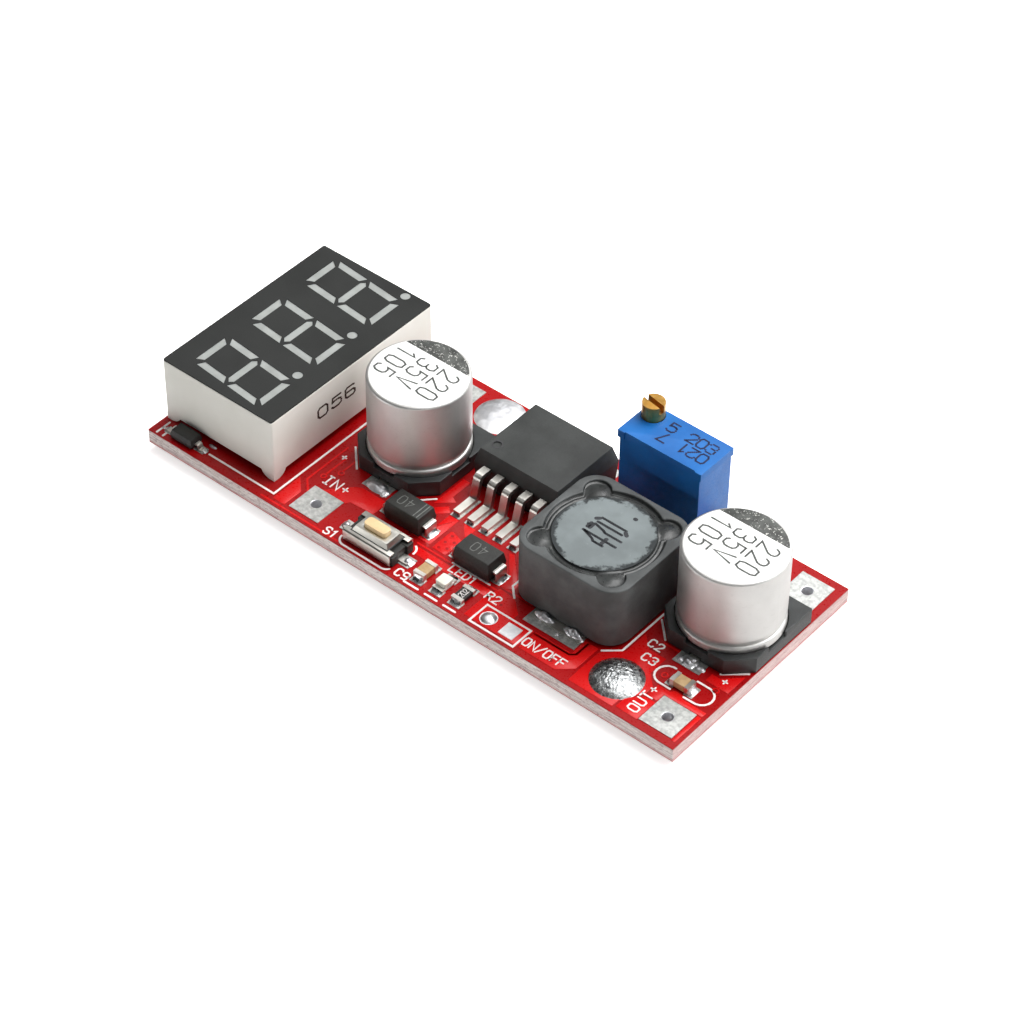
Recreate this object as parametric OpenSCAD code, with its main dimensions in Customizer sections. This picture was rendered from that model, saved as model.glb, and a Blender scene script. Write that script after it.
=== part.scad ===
// Step-down voltage converter board with a three-digit voltage display.
// The origin lies under the middle of the board, at the height of its lowest solder joints.
// X runs along the board from the display to the output pads, Y runs to the back, Z is up.

/* [Board] */
// Thickness of the board
board_t = 1.6; // [1:0.1:2.4]
// Free strip between the output capacitor and the output end
end_margin = 0.05; // [0:0.05:4]
// Thickness of the tinned copper pads
pad_t = 0.06; // [0.03:0.01:0.1]
// Height of the solder joints under the board
joint_h = 0.9; // [0.5:0.05:1.5]
// Largest radius of a through-hole solder joint
joint_r = 0.8; // [0.6:0.05:1]
// Size of a square terminal pad
terminal_w = 3.6; // [3:0.1:4]
// Radius of a terminal pad's hole
terminal_hole_r = 0.6; // [0.4:0.05:0.9]
// Distance of the terminal holes from the board's long edges
terminal_inset = 2.7; // [2.2:0.05:3]
// Radius of a mounting hole's pad
mount_pad_r = 2.6; // [2.2:0.05:2.8]
// Radius of the mounting holes, which are filled with solder
mount_hole_r = 1.5; // [1:0.05:1.7]
// Height of the solder domes on top of the mounting holes
dome_h = 0.75; // [0.3:0.05:1.2]

/* [Display] */
// Free strip between the display and the input end
display_end = 0.2; // [0:0.05:3]
// Free strip between the display and the front edge
display_front = 2.35; // [2.35:0.05:5]
// Free strip between the display and the back edge
display_back_gap = 0.95; // [0.3:0.05:4]
// Size of the display along X
display_w = 14; // [13:0.1:17]
// Size of the display along Y
display_l = 22.5; // [22.5:0.1:27]
// Height of the display's face above the board
display_h = 7.4; // [6:0.1:10]
// Height of the display's corner feet
display_foot = 0.8; // [0.5:0.05:1.2]
// Wall of the display housing
display_wall = 0.9; // [0.6:0.05:1.1]
// Thickness of the dark face mask
face_t = 0.15; // [0.1:0.01:0.3]
// Distance between the digits
digit_pitch = 7.6; // [7.4:0.05:8]
// Width of a digit between the middles of its upright bars
digit_w = 4.06; // [3.6:0.02:4.3]
// Height of a digit between the middles of its top and bottom bars
digit_h = 8.5; // [7.5:0.05:9.5]
// Width of a bar
bar_t = 0.78; // [0.5:0.01:0.9]
// Gap between neighbouring bars
bar_gap = 0.2; // [0.1:0.01:0.35]
// Slant of the digits in degrees
slant = 5; // [0:0.5:8]
// Radius of a decimal point
point_r = 0.5; // [0.3:0.02:0.6]
// Distance between the two rows of display pins
pin_rows = 10.16; // [9:0.02:10.6]

/* [Controller] */
// Size of the controller chip along Y
controller_l = 6.5; // [5:0.1:8]
// Size of the controller chip along X
controller_w = 4.4; // [3.6:0.1:5.5]
// Height of the controller chip above the board
controller_h = 1.15; // [0.8:0.05:1.2]
// Leads on each side of the controller chip
controller_leads_n = 10; // [6:1:10]

/* [Capacitors] */
// Gap between the display and the input capacitor's base
cap_gap = 2.65; // [1:0.05:6]
// Distance of the input capacitor's base from the front edge
input_cap_front = 8.95; // [8.6:0.05:11]
// Distance of the output capacitor's base from the front edge
output_cap_front = 9.8; // [9.6:0.05:11]
// Width of a capacitor's square base
cap_base_w = 10.3; // [10:0.1:11]
// Cut of the two front corners of the base
cap_chamfer = 2.1; // [1:0.1:2.4]
// Thickness of the base under the can
cap_base_t = 1.25; // [0.9:0.05:1.6]
// Height of the base's corner guards above the plate
cap_guard_h = 0.55; // [0.2:0.05:1]
// Radius of the can
can_r = 5; // [4.4:0.05:5]
// Height of the can's top above the board
can_top = 10.2; // [8:0.1:14]
// Depth of the crimped groove round the can
crimp_d = 0.25; // [0.1:0.05:0.5]
// Radius of the can's top edge
can_edge_r = 0.3; // [0.2:0.05:1]

/* [Regulator] */
// Gap between the input capacitor's base and the regulator
reg_gap = 1.25; // [0.6:0.05:4]
// Width of the regulator's body
reg_w = 10.16; // [9.6:0.02:11]
// Length of the regulator's body
reg_l = 8.9; // [8:0.05:9.6]
// Distance of the body's front face from the front edge
reg_front = 14.4; // [14:0.05:16]
// Height of the body's top above the board
reg_h = 4.45; // [4:0.05:5]
// Slope of the body's sides at the top
reg_draft = 0.45; // [0.2:0.05:0.6]
// Thickness of the metal tab
tab_t = 1.27; // [0.8:0.01:1.6]
// Width of the metal tab
tab_w = 8; // [7:0.1:8.6]
// Length of the tab past the body
tab_out = 1.2; // [0.5:0.05:1.6]
// Distance between the leads
lead_pitch = 1.7; // [1.6:0.01:1.8]
// Width of a lead
lead_w = 0.8; // [0.6:0.05:0.9]
// Thickness of a lead
lead_t = 0.5; // [0.35:0.01:0.6]
// Length from the body to the tips of the leads
lead_reach = 4.4; // [3.8:0.05:5]
// Length of a lead's flat foot
lead_foot = 2.5; // [1.5:0.05:2.6]

/* [Inductor] */
// Gap between the regulator and the inductor
ind_gap = 1.65; // [1:0.05:4]
// Size of the inductor along X
ind_w = 12.2; // [11.8:0.1:13]
// Size of the inductor along Y
ind_l = 12; // [11.8:0.1:12.6]
// Distance of the inductor from the front edge
ind_front = 5.35; // [5:0.05:6.5]
// Height of the inductor's top above the board
ind_h = 7; // [5:0.1:8.5]
// Corner radius of the ferrite ring
ind_corner = 2.3; // [1.5:0.1:3]
// Radius of the ring's round opening
ind_bore_r = 5.55; // [5.3:0.05:5.6]
// Radius of the four lobes of the opening
ind_lobe_r = 1.3; // [0.8:0.05:1.5]
// Distance of the lobes from the middle
ind_lobe_d = 5.65; // [5.2:0.05:5.9]
// Radius of the drum's flanges
drum_r = 4.75; // [4:0.05:4.9]
// Radius of the drum's core
drum_core_r = 2.2; // [1.5:0.05:2.8]
// Thickness of the drum's flanges
drum_flange = 1.1; // [0.7:0.05:1.4]
// Depth of the drum below the ring's top
drum_drop = 0.15; // [0.1:0.05:0.8]
// Diameter of the winding's wire
wire_d = 0.8; // [0.6:0.05:0.9]
// Width of a terminal clip
clip_w = 5.6; // [4:0.1:6]

/* [Trimmer] */
// Length of the trimmer along X
trim_l = 9.53; // [9:0.01:10]
// Width of the trimmer along Y
trim_w = 4.83; // [4.6:0.01:5]
// Height of the trimmer's top above the board
trim_h = 10.05; // [9:0.05:11]
// Distance of the trimmer from the back edge
trim_back = 0.82; // [0.3:0.02:1.2]
// Distance of the trimmer's end from the inductor's side nearest the display
trim_shift = 0.45; // [0:0.05:1.5]
// Radius of the screw's head
screw_r = 1.1; // [0.9:0.01:1.15]
// Height of the screw's head above the trimmer
screw_out = 1.62; // [1:0.02:2]
// Width of the screwdriver slot
slot_w = 0.55; // [0.4:0.01:0.7]
// Depth of the screwdriver slot
slot_d = 0.75; // [0.4:0.05:1]
// Radius of the lead screw inside
thread_r = 0.5; // [0.4:0.02:0.6]
// Distance of the screw from the trimmer's end and back
screw_inset = 1.2; // [1.2:0.01:1.4]
// Distance between the trimmer's pins
trim_pitch = 2.54; // [2.2:0.02:2.8]

/* [Switch] */
// Gap between the input pad and the switch
switch_gap = 3.05; // [2.6:0.05:5]
// Length of the switch's base along X
switch_l = 6.1; // [5.8:0.05:6.5]
// Width of the switch's base along Y
switch_w = 3.2; // [3:0.05:3.4]
// Distance of the switch's middle from the front edge
switch_y = 2.45; // [2.2:0.05:2.6]
// Height of the cover's shoulder
cover_h = 1.4; // [1.3:0.05:1.6]
// Height of the raised frame above the shoulder
frame_h = 0.5; // [0.35:0.05:0.7]
// Thickness of the cover's sheet
sheet_t = 0.15; // [0.1:0.01:0.2]
// Length of the button
button_l = 2.6; // [2.2:0.05:3.2]
// Width of the button
button_w = 1.1; // [1:0.05:1.5]
// Height of the button above the frame
button_out = 0.52; // [0.3:0.02:0.8]
// Travel of the button
button_travel = 0.25; // [0.15:0.01:0.3]

/* [Diodes] */
// Length of a large diode's body
diode_l = 4.3; // [4:0.05:4.6]
// Width of a large diode's body
diode_w = 2.6; // [2.3:0.05:2.8]
// Height of a large diode
diode_h = 2.2; // [1.9:0.05:2.5]
// Width of a large diode's leads
diode_lead_w = 1.45; // [1.2:0.05:1.7]
// Distance of the input diode's middle from the front edge
input_diode_y = 6.65; // [6.5:0.05:6.9]
// Distance of the catch diode's middle from the front edge
catch_diode_y = 6.3; // [6.2:0.05:6.8]
// Length of the small diode's body
small_diode_l = 2.8; // [2.5:0.05:3.2]
// Width of the small diode's body
small_diode_w = 1.6; // [1.3:0.05:1.65]
// Height of the small diode
small_diode_h = 1.15; // [0.9:0.05:1.3]

/* [Chip parts] */
// Length of a chip part
chip_l = 2; // [1.8:0.05:2.2]
// Width of a chip part
chip_w = 1.25; // [1:0.05:1.4]
// Height of a chip capacitor
chip_cap_h = 0.8; // [0.5:0.05:1.1]
// Height of a chip resistor
chip_res_h = 0.5; // [0.35:0.05:0.6]
// Length of a chip part's metal ends
chip_end = 0.4; // [0.25:0.05:0.5]
// Distance between the chip parts in the front row
chip_pitch = 2.25; // [2:0.05:3]
// Distance of the front row's middle from the front edge
chip_y = 2.35; // [2:0.05:2.6]

/* [Hidden] */
$fn = 48;

// clearances: face to face inside one body, and running round what turns or slides
fit = 0.02;
run = 0.06;
eps = 0.01;

// heights: the board's top face, and the lowest solder below it
foot_z = -board_t - joint_h;
board_top = -foot_z;

// free strips between the pieces
input_pad_gap = 3.2;
output_pad_end = 0.9;
output_cap_gap = 0.55;
chip_gap = 2.85;
enable_gap = 3.5;
small_diode_gap = 0.35;

// places along X, worked out piece by piece from the input end
display_x = display_end + display_w / 2;
input_cap_x = display_end + display_w + cap_gap + cap_base_w / 2;
reg_x = input_cap_x + cap_base_w / 2 + reg_gap + reg_w / 2;
ind_x = reg_x + reg_w / 2 + ind_gap + ind_w / 2;
output_cap_x = ind_x + ind_w / 2 + output_cap_gap + cap_base_w / 2;
board_l = output_cap_x + cap_base_w / 2 + end_margin;
input_pad_x = display_end + display_w + input_pad_gap + terminal_w / 2;
output_pad_x = board_l - output_pad_end - terminal_w / 2;
switch_x = input_pad_x + terminal_w / 2 + switch_gap + switch_l / 2;
chip1_x = switch_x + switch_l / 2 + chip_gap;
lamp_x = chip1_x + chip_pitch;
resistor_x = lamp_x + chip_pitch;
enable_x = resistor_x + enable_gap;
enable_pitch = 2.54;
enable_y = 1.75;
catch_diode_x = reg_x + 2.55;
input_diode_x = switch_x + 0.2;
small_diode_x = display_end + 3.7;
small_diode_y = display_front - small_diode_gap - small_diode_w / 2;
trim_x = ind_x - ind_w / 2 + trim_shift + trim_l / 2;
chip3_x = output_cap_x + 1.25;
chip3_y = 6.4;
dome_xs = [input_cap_x + 2.3, output_cap_x - 3.8];

// places along Y, from the front edge
board_w = display_front + display_l + display_back_gap;
display_y = display_front + display_l / 2;
input_cap_y = input_cap_front + cap_base_w / 2;
output_cap_y = output_cap_front + cap_base_w / 2;
ind_y = ind_front + ind_l / 2;
trim_y = board_w - trim_back - trim_w / 2;
dome_ys = [board_w - mount_pad_r - 0.1, mount_pad_r + 0.9];

// display: hollow underside, the plate in it, and the pins through plate and board
back_t = 0.8;
back_z = 1.5;
pin_w = 0.5;
pin_hole_r = 0.45;
pins_per_row = 6;
pin_pitch = 2.54;

// inductor: terminal clips, and the ring standing on them
clip_t = 0.2;
ring_z = pad_t + clip_t + fit;

// trimmer: cavity, carriage and screw
trim_wall = 0.45;
trim_front = 0.12;
trim_floor = 1.5;
trim_roof = 1.2;
trim_lip = 0.85;
trim_stand = 0.35;
cavity_end = 0.85;
trim_step = 0.2;
carriage_l = 2.6;
carriage_h = 1.8;
carriage_travel = 2.2;
screw_x = trim_x - trim_l / 2 + screw_inset + 0.05;
screw_y = trim_y + trim_w / 2 - screw_inset;
cavity_top = trim_h - trim_roof;
element_t = 0.6;
slot_turn = -10;

// lamp: height of the plate under its lens
lamp_base_h = 0.3;

// switch: sheet cover over a moulded base
frame_slope = 0.25;
shoulder_w = 0.5;
cover_l = switch_l - 0.4;
cover_w = switch_w + 0.1;
flange_t = 0.35;
flange_out = 0.12;
dome_disc_r = 1.2;
pip_h = 0.12;
button_floor = cover_h + frame_h - sheet_t - 0.05 - flange_t;
disc_top = button_floor - pip_h - fit;
disc_h = 0.38;

module at(x, y, z = 0) {
    translate([x, y, z]) children();
}

// moves a piece from the board's front corner to the middle of the board and to its height
module on_board() {
    translate([-board_l / 2, -board_w / 2, board_top]) children();
}

module box(l, w, h) {
    translate([-l / 2, -w / 2, 0]) cube([l, w, h]);
}

module rounded(l, w, r) {
    square([l - 2 * r, w], center = true);
    square([l, w - 2 * r], center = true);
    for (sx = [-1, 1]) {
        for (sy = [-1, 1]) {
            translate([sx * (l / 2 - r), sy * (w / 2 - r)]) circle(r);
        }
    }
}

module plate(l, w, h, r) {
    linear_extrude(height = h) rounded(l, w, r);
}

// moulded body whose sides slope from a parting line up to the top and down to the bottom
module moulded(l, w, z0, z1, z2, draft_low, draft_top) {
    hull() {
        translate([0, 0, z0]) box(l - 2 * draft_low, w - 2 * draft_low, eps);
        translate([0, 0, z1]) box(l, w, eps);
        translate([0, 0, z2 - eps]) box(l - 2 * draft_top, w - 2 * draft_top, eps);
    }
}

// points on an arc from angle a to angle b
function arc(cx, cy, r, a, b, n = 8) =
    [for (i = [0 : n]) let(t = a + (b - a) * i / n) [cx + r * cos(t), cy + r * sin(t)]];

function unit(v) = v / norm(v);
function turned(v) = [-v[1], v[0]];
function heading(path, i) = unit(path[min(i + 1, len(path) - 1)] - path[min(i, len(path) - 2)]);

// point beside a path, at distance d to its left
function beside(path, i, d) =
    let(a = turned(heading(path, max(i - 1, 0))), b = turned(heading(path, i)), m = unit(a + b))
    path[i] + m * d / (m * a);

// outline of a strip of thickness t along a path
function strip(path, t) = concat(
    [for (i = [0 : len(path) - 1]) beside(path, i, t / 2)],
    [for (i = [len(path) - 1 : -1 : 0]) beside(path, i, -t / 2)]);

// the same path with its inner corners eased over the distance d
function eased(path, d, n = 4) = concat(
    [path[0]],
    [for (i = [1 : len(path) - 2])
        let(p = path[i], a = p + d * unit(path[i - 1] - p), b = p + d * unit(path[i + 1] - p))
        for (k = [0 : n]) let(t = k / n) (1 - t) * (1 - t) * a + 2 * t * (1 - t) * p + t * t * b],
    [path[len(path) - 1]]);

// strip bent in the XZ plane, of width w along Y
module bent_strip(path, t, w, ease) {
    translate([0, w / 2, 0]) rotate([90, 0, 0]) {
        linear_extrude(height = w) polygon(strip(eased(path, ease), t));
    }
}

// ---- board, pads and solder ----

module terminal_places() {
    for (x = [input_pad_x, output_pad_x]) {
        for (y = [terminal_inset, board_w - terminal_inset]) {
            at(x, y) children();
        }
    }
}

module dome_places() {
    for (i = [0, 1]) {
        at(dome_xs[i], dome_ys[i]) children();
    }
}

module display_pin_places() {
    for (side = [-1, 1]) {
        for (i = [0 : pins_per_row - 1]) {
            at(display_x + side * pin_rows / 2, display_y + (i - (pins_per_row - 1) / 2) * pin_pitch) children();
        }
    }
}

module trimmer_pin_places() {
    for (i = [-1 : 1]) {
        at(trim_x + i * trim_pitch, trim_y) children();
    }
}

module through(r) {
    translate([0, 0, -board_t - 1]) cylinder(r = r, h = board_t + 2);
}

module board() {
    color("firebrick") on_board() difference() {
        translate([0, 0, -board_t]) cube([board_l, board_w, board_t]);
        terminal_places() through(terminal_hole_r);
        dome_places() through(mount_hole_r + fit);
        display_pin_places() through(pin_hole_r);
        trimmer_pin_places() through(pin_hole_r);
        for (i = [0, 1]) {
            at(enable_x + i * enable_pitch, enable_y) through(pin_hole_r);
        }
    }
}

module terminal_pads() {
    color("silver") on_board() terminal_places() difference() {
        for (z = [0, -board_t - pad_t]) {
            translate([0, 0, z]) box(terminal_w, terminal_w, pad_t);
        }
        through(terminal_hole_r);
    }
}

// profile of a solder dome of radius r and height h, from its edge to its middle
function dome_profile(r, h, z, n = 10) =
    let(big = (r * r + h * h) / (2 * h), a = asin(r / big))
    [for (i = [0 : n]) let(t = a * (1 - i / n)) [big * sin(t), z + h - big * (1 - cos(t))]];

module enable_pads() {
    pad_r = 0.85;
    color("silver") on_board() {
        at(enable_x, enable_y) {
            rotate_extrude() polygon(concat(
                [[0, -board_t - 0.3], [pin_hole_r - fit, -board_t - 0.3], [pin_hole_r - fit, 0]],
                [[pad_r, 0], [pad_r, pad_t]],
                dome_profile(pad_r - 0.1, 0.3, pad_t)));
        }
        at(enable_x + enable_pitch, enable_y) {
            box(1.6, 1.6, pad_t + 0.04);
            translate([0, 0, -board_t - 0.3]) cylinder(r = pin_hole_r - fit, h = board_t + 0.3 + eps);
        }
    }
}

module mounting_solder() {
    dome_r = mount_pad_r - 0.45;
    upper = concat([[mount_pad_r, pad_t]], dome_profile(dome_r, dome_h, pad_t));
    low = [for (p = dome_profile(dome_r, joint_h - pad_t, pad_t)) [p[0], -board_t - p[1]]];
    lower = [for (i = [len(low) - 1 : -1 : 0]) low[i]];
    barrel = [[mount_hole_r, -board_t], [mount_hole_r, 0]];
    color("gainsboro") on_board() dome_places() rotate_extrude() {
        polygon(concat(lower, [[mount_pad_r, -board_t - pad_t], [mount_pad_r, -board_t]], barrel,
            [[mount_pad_r, 0]], upper));
    }
}

// a pair of pads under the two ends of a part that lies along X
module pad_pair(inner, outer, w) {
    for (side = [-1, 1]) {
        translate([side * (inner + outer) / 2, 0, 0]) box(outer - inner, w, pad_t);
    }
}

// pads of a capacitor, the front one reaching further out than the back one
module cap_pads() {
    half = cap_base_w / 2;
    outs = [1.4, 1];
    for (i = [0, 1]) {
        rotate(180 * i) translate([-1.5, -half - outs[i], 0]) cube([3, outs[i] + 3, pad_t]);
    }
}

module chip_turns() {
    at(chip1_x, chip_y) rotate(90) children();
    at(lamp_x, chip_y) rotate(90) children();
    at(resistor_x, chip_y) rotate(90) children();
    at(chip3_x, chip3_y) children();
}

module smd_pads() {
    reg_foot = reg_front - lead_reach;
    color("silver") on_board() {
        chip_turns() pad_pair(chip_l / 2 - chip_end, chip_l / 2 + 0.5, chip_w + 0.15);
        at(input_cap_x, input_cap_y) cap_pads();
        at(output_cap_x, output_cap_y) cap_pads();
        for (i = [-2 : 2]) {
            at(reg_x + i * lead_pitch, reg_foot + 1.3) box(lead_w + 0.3, 3.2, pad_t);
        }
        at(reg_x, reg_front + reg_l / 2 + 1.2) box(tab_w + 1.2, 9, pad_t);
        at(ind_x, ind_y) rotate(90) pad_pair(ind_l / 2 - 2, ind_l / 2 + 1.7, clip_w + 0.3);
        at(switch_x, switch_y) pad_pair(switch_l / 2 - 0.1, switch_l / 2 + 1.15, 1.35);
        at(input_diode_x, input_diode_y) pad_pair(diode_l / 2 - 0.95, diode_l / 2 + 0.9, diode_lead_w + 0.2);
        at(catch_diode_x, catch_diode_y) pad_pair(diode_l / 2 - 0.95, diode_l / 2 + 0.9, diode_lead_w + 0.2);
        at(small_diode_x, small_diode_y) pad_pair(small_diode_l / 2 - 0.1, small_diode_l / 2 + 1.1, 0.9);
        at(display_x, display_y) {
            for (i = [0 : controller_leads_n - 1]) {
                translate([0, (i - (controller_leads_n - 1) / 2) * 0.65, 0]) {
                    pad_pair(controller_w / 2 + 0.3, controller_w / 2 + 1.3, 0.36);
                }
            }
        }
    }
}

// solder cones under the board, each with a blind hole for the pin inside
module joint_solder() {
    pin_r = pin_w / sqrt(2) + fit;
    color("silver") on_board() {
        display_pin_places() joint(pin_r);
        trimmer_pin_places() joint(pin_r);
    }
}

module joint(pin_r) {
    tip_r = joint_r * 0.5;
    rotate_extrude() polygon(concat(
        [[0, foot_z], [tip_r, foot_z]],
        arc(joint_r, foot_z + 0.1, joint_r - tip_r, 180, 100, 5),
        [[joint_r, -board_t], [pin_r, -board_t], [pin_r, foot_z + 0.15], [0, foot_z + 0.15]]));
}

// ---- display ----

// outline of an upright or level bar: its outer edge is the longer one
module outer_bar(l) {
    cut = bar_t * 0.6;
    polygon([[-l / 2, bar_t / 2], [l / 2, bar_t / 2], [l / 2 - cut, -bar_t / 2], [cut - l / 2, -bar_t / 2]]);
}

module middle_bar(l) {
    cut = bar_t / 2;
    polygon([[-l / 2, 0], [cut - l / 2, bar_t / 2], [l / 2 - cut, bar_t / 2],
        [l / 2, 0], [l / 2 - cut, -bar_t / 2], [cut - l / 2, -bar_t / 2]]);
}

module digit() {
    level = digit_w - bar_gap * 0.7;
    upright = digit_h / 2 - bar_gap * 2;
    multmatrix([[1, tan(slant), 0, 0], [0, 1, 0, 0], [0, 0, 1, 0], [0, 0, 0, 1]]) {
        translate([0, digit_h / 2]) outer_bar(level);
        translate([0, -digit_h / 2]) rotate(180) outer_bar(level);
        middle_bar(level);
        for (v = [-1, 1]) {
            translate([digit_w / 2, v * digit_h / 4]) rotate(-90) outer_bar(upright);
            translate([-digit_w / 2, v * digit_h / 4]) rotate(90) outer_bar(upright);
        }
    }
    translate([digit_w / 2 + 0.88, -digit_h / 2]) circle(point_r, $fn = 32);
}

// the three digits, read with their tops towards the input end
module digits() {
    for (i = [-1 : 1]) {
        translate([0, i * digit_pitch]) rotate(90) digit();
    }
}

module display_foot_profile() {
    polygon([[0, 0], [1.65, 0], [1.5, -0.45 * display_foot], [1.15, -0.8 * display_foot],
        [0.7, -display_foot], [0, -display_foot]]);
}

module display_corner_foot() {
    intersection() {
        translate([0, 1.65, 0]) rotate([90, 0, 0]) linear_extrude(height = 1.65) display_foot_profile();
        rotate([90, 0, 90]) linear_extrude(height = 1.65) display_foot_profile();
    }
}

module display_housing() {
    color("ivory") on_board() at(display_x, display_y) {
        difference() {
            translate([0, 0, display_foot]) plate(display_w, display_l, display_h - face_t - display_foot, 0.25);
            translate([0, 0, display_foot - eps]) {
                box(display_w - 2 * display_wall, display_l - 2 * display_wall, back_z + back_t - display_foot + eps);
            }
            translate([0, 0, back_z]) linear_extrude(height = display_h) digits();
        }
        for (sx = [-1, 1]) {
            for (sy = [-1, 1]) {
                scale([sx, sy, 1]) translate([-display_w / 2 + 0.05, -display_l / 2 + 0.05, display_foot + eps]) {
                    display_corner_foot();
                }
            }
        }
    }
}

module display_face() {
    color("dimgray") on_board() at(display_x, display_y, display_h - face_t) difference() {
        plate(display_w - 0.1, display_l - 0.1, face_t, 0.2);
        translate([0, 0, -1]) linear_extrude(height = 2) digits();
    }
}

module display_segments() {
    floor_z = back_z + back_t;
    color("lightgray") on_board() at(display_x, display_y, floor_z) {
        linear_extrude(height = display_h - floor_z - 0.04) digits();
    }
}

module display_back() {
    gap = 0.1;
    color("darkgreen") on_board() difference() {
        at(display_x, display_y, back_z) {
            box(display_w - 2 * display_wall - gap, display_l - 2 * display_wall - gap, back_t - fit);
        }
        display_pin_places() translate([0, 0, back_z - 1]) cylinder(r = pin_w / sqrt(2) + fit, h = back_t + 2);
    }
}

module display_pins() {
    color("silver") on_board() display_pin_places() translate([0, 0, foot_z + 0.2]) {
        box(pin_w, pin_w, back_z + back_t - foot_z - 0.2 - 2 * fit);
    }
}

// ---- controller chip under the display ----

module controller_body() {
    color("black") on_board() at(display_x, display_y) {
        moulded(controller_w, controller_l, 0.12, controller_h * 0.55, controller_h, 0.08, 0.12);
    }
}

module controller_leads() {
    mid = controller_h * 0.55;
    half = controller_w / 2;
    path = [[half + fit, mid], [half + 0.4, mid], [half + 0.5, pad_t + 0.08], [half + 1, pad_t + 0.08]];
    color("silver") on_board() at(display_x, display_y) {
        for (turn = [0, 180]) {
            for (i = [0 : controller_leads_n - 1]) {
                rotate(turn) translate([0, (i - (controller_leads_n - 1) / 2) * 0.65, 0]) {
                    bent_strip(path, 0.15, 0.25, 0.12);
                }
            }
        }
    }
}

// ---- electrolytic capacitors ----

// half section of the can: rolled bottom, ring under the crimped groove, wall and rounded top edge
function can_section() =
    let(z0 = cap_base_t + fit, roll = 0.45, crest = 1.2 * crimp_d, groove_z = z0 + 0.85 + crest)
    let(r = can_r, wall = can_r - 0.05)
    concat(
        [[0, z0]],
        arc(r - roll, z0 + roll, roll, -90, 0, 6),
        arc(r - crest, groove_z - crest, crest, 0, 80, 6),
        [[wall - crimp_d / 2, groove_z + 0.25], [wall - crimp_d / 8, groove_z + 0.5], [wall, groove_z + 0.75]],
        arc(wall - can_edge_r, can_top - can_edge_r, can_edge_r, 0, 90, 6),
        [[0, can_top]]);

module capacitor_can() {
    color("gainsboro") rotate_extrude($fn = 96) polygon(can_section());
}

module capacitor_outline() {
    half = cap_base_w / 2;
    polygon([[-half + cap_chamfer, -half], [half - cap_chamfer, -half], [half, -half + cap_chamfer],
        [half, half], [-half, half], [-half, -half + cap_chamfer]]);
}

module capacitor_base() {
    channel_w = 1.3;
    channel_h = 0.4;
    color("black") difference() {
        union() {
            translate([0, 0, pad_t]) linear_extrude(height = cap_base_t - pad_t) capacitor_outline();
            difference() {
                linear_extrude(height = cap_base_t + cap_guard_h) intersection() {
                    capacitor_outline();
                    for (a = [45 : 90 : 315]) {
                        rotate(a) translate([can_r + 1.2, 0]) square([3.6, 5.4], center = true);
                    }
                }
                cylinder(r = can_r + 0.1, h = can_top);
                translate([0, 0, -1]) cylinder(r = can_r * 3, h = 1 + pad_t);
            }
        }
        translate([-channel_w / 2, -cap_base_w, -1]) cube([channel_w, 2 * cap_base_w, 1 + channel_h]);
    }
}

module capacitor_leads() {
    half = cap_base_w / 2;
    lead = 0.2;
    color("silver") for (turn = [0, 180]) {
        rotate(turn) translate([0, -half - 0.7, pad_t]) {
            translate([-0.5, 0, 0]) cube([1, half - 0.6, lead]);
        }
    }
}

module input_capacitor_can() {
    on_board() at(input_cap_x, input_cap_y) capacitor_can();
}

module input_capacitor_base() {
    on_board() at(input_cap_x, input_cap_y) capacitor_base();
}

module input_capacitor_leads() {
    on_board() at(input_cap_x, input_cap_y) capacitor_leads();
}

module output_capacitor_can() {
    on_board() at(output_cap_x, output_cap_y) capacitor_can();
}

module output_capacitor_base() {
    on_board() at(output_cap_x, output_cap_y) capacitor_base();
}

module output_capacitor_leads() {
    on_board() at(output_cap_x, output_cap_y) capacitor_leads();
}

// ---- regulator ----

module reg_tab_shape(grow) {
    back = reg_front + reg_l + tab_out;
    at(reg_x - tab_w / 2 - grow, reg_front + 1, pad_t - (grow > 0 ? 1 : 0)) {
        cube([tab_w + 2 * grow, back - reg_front - 1 + grow, tab_t + (grow > 0 ? 1 + grow : 0)]);
    }
}

module regulator_body() {
    dimple_r = 0.55;
    color("dimgray") on_board() difference() {
        at(reg_x, reg_front + reg_l / 2) moulded(reg_w, reg_l, pad_t, 2.75, reg_h, 0.2, reg_draft);
        reg_tab_shape(fit);
        at(reg_x - reg_w / 2 + 1.35, reg_front + 1.8, reg_h - 0.12) cylinder(r = dimple_r, h = 1, $fn = 32);
    }
}

module regulator_tab() {
    color("silver") on_board() reg_tab_shape(0);
}

module regulator_leads() {
    top = 2.75;
    bend = lead_reach - lead_foot;
    low = pad_t + lead_t / 2;
    path = [[fit, top], [bend - 0.65, top], [bend, low], [lead_reach, low]];
    color("silver") on_board() for (i = [-2 : 2]) {
        at(reg_x + i * lead_pitch, reg_front) rotate(-90) bent_strip(path, lead_t, lead_w, 0.32);
    }
}

// ---- inductor ----

module ring_opening() {
    circle(ind_bore_r, $fn = 96);
    for (a = [45 : 90 : 315]) {
        rotate(a) translate([ind_lobe_d, 0]) circle(ind_lobe_r);
    }
}

module inductor_shield() {
    color("slategray") on_board() at(ind_x, ind_y, ring_z) linear_extrude(height = ind_h - ring_z) {
        difference() {
            rounded(ind_w, ind_l, ind_corner);
            ring_opening();
        }
    }
}

module inductor_drum() {
    top = ind_h - drum_drop;
    low = ring_z;
    color("slategray") on_board() at(ind_x, ind_y) rotate_extrude($fn = 96) polygon([
        [0, low], [drum_r, low], [drum_r, low + drum_flange], [drum_core_r, low + drum_flange],
        [drum_core_r, top - drum_flange], [drum_r, top - drum_flange], [drum_r, top], [0, top]]);
}

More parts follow.
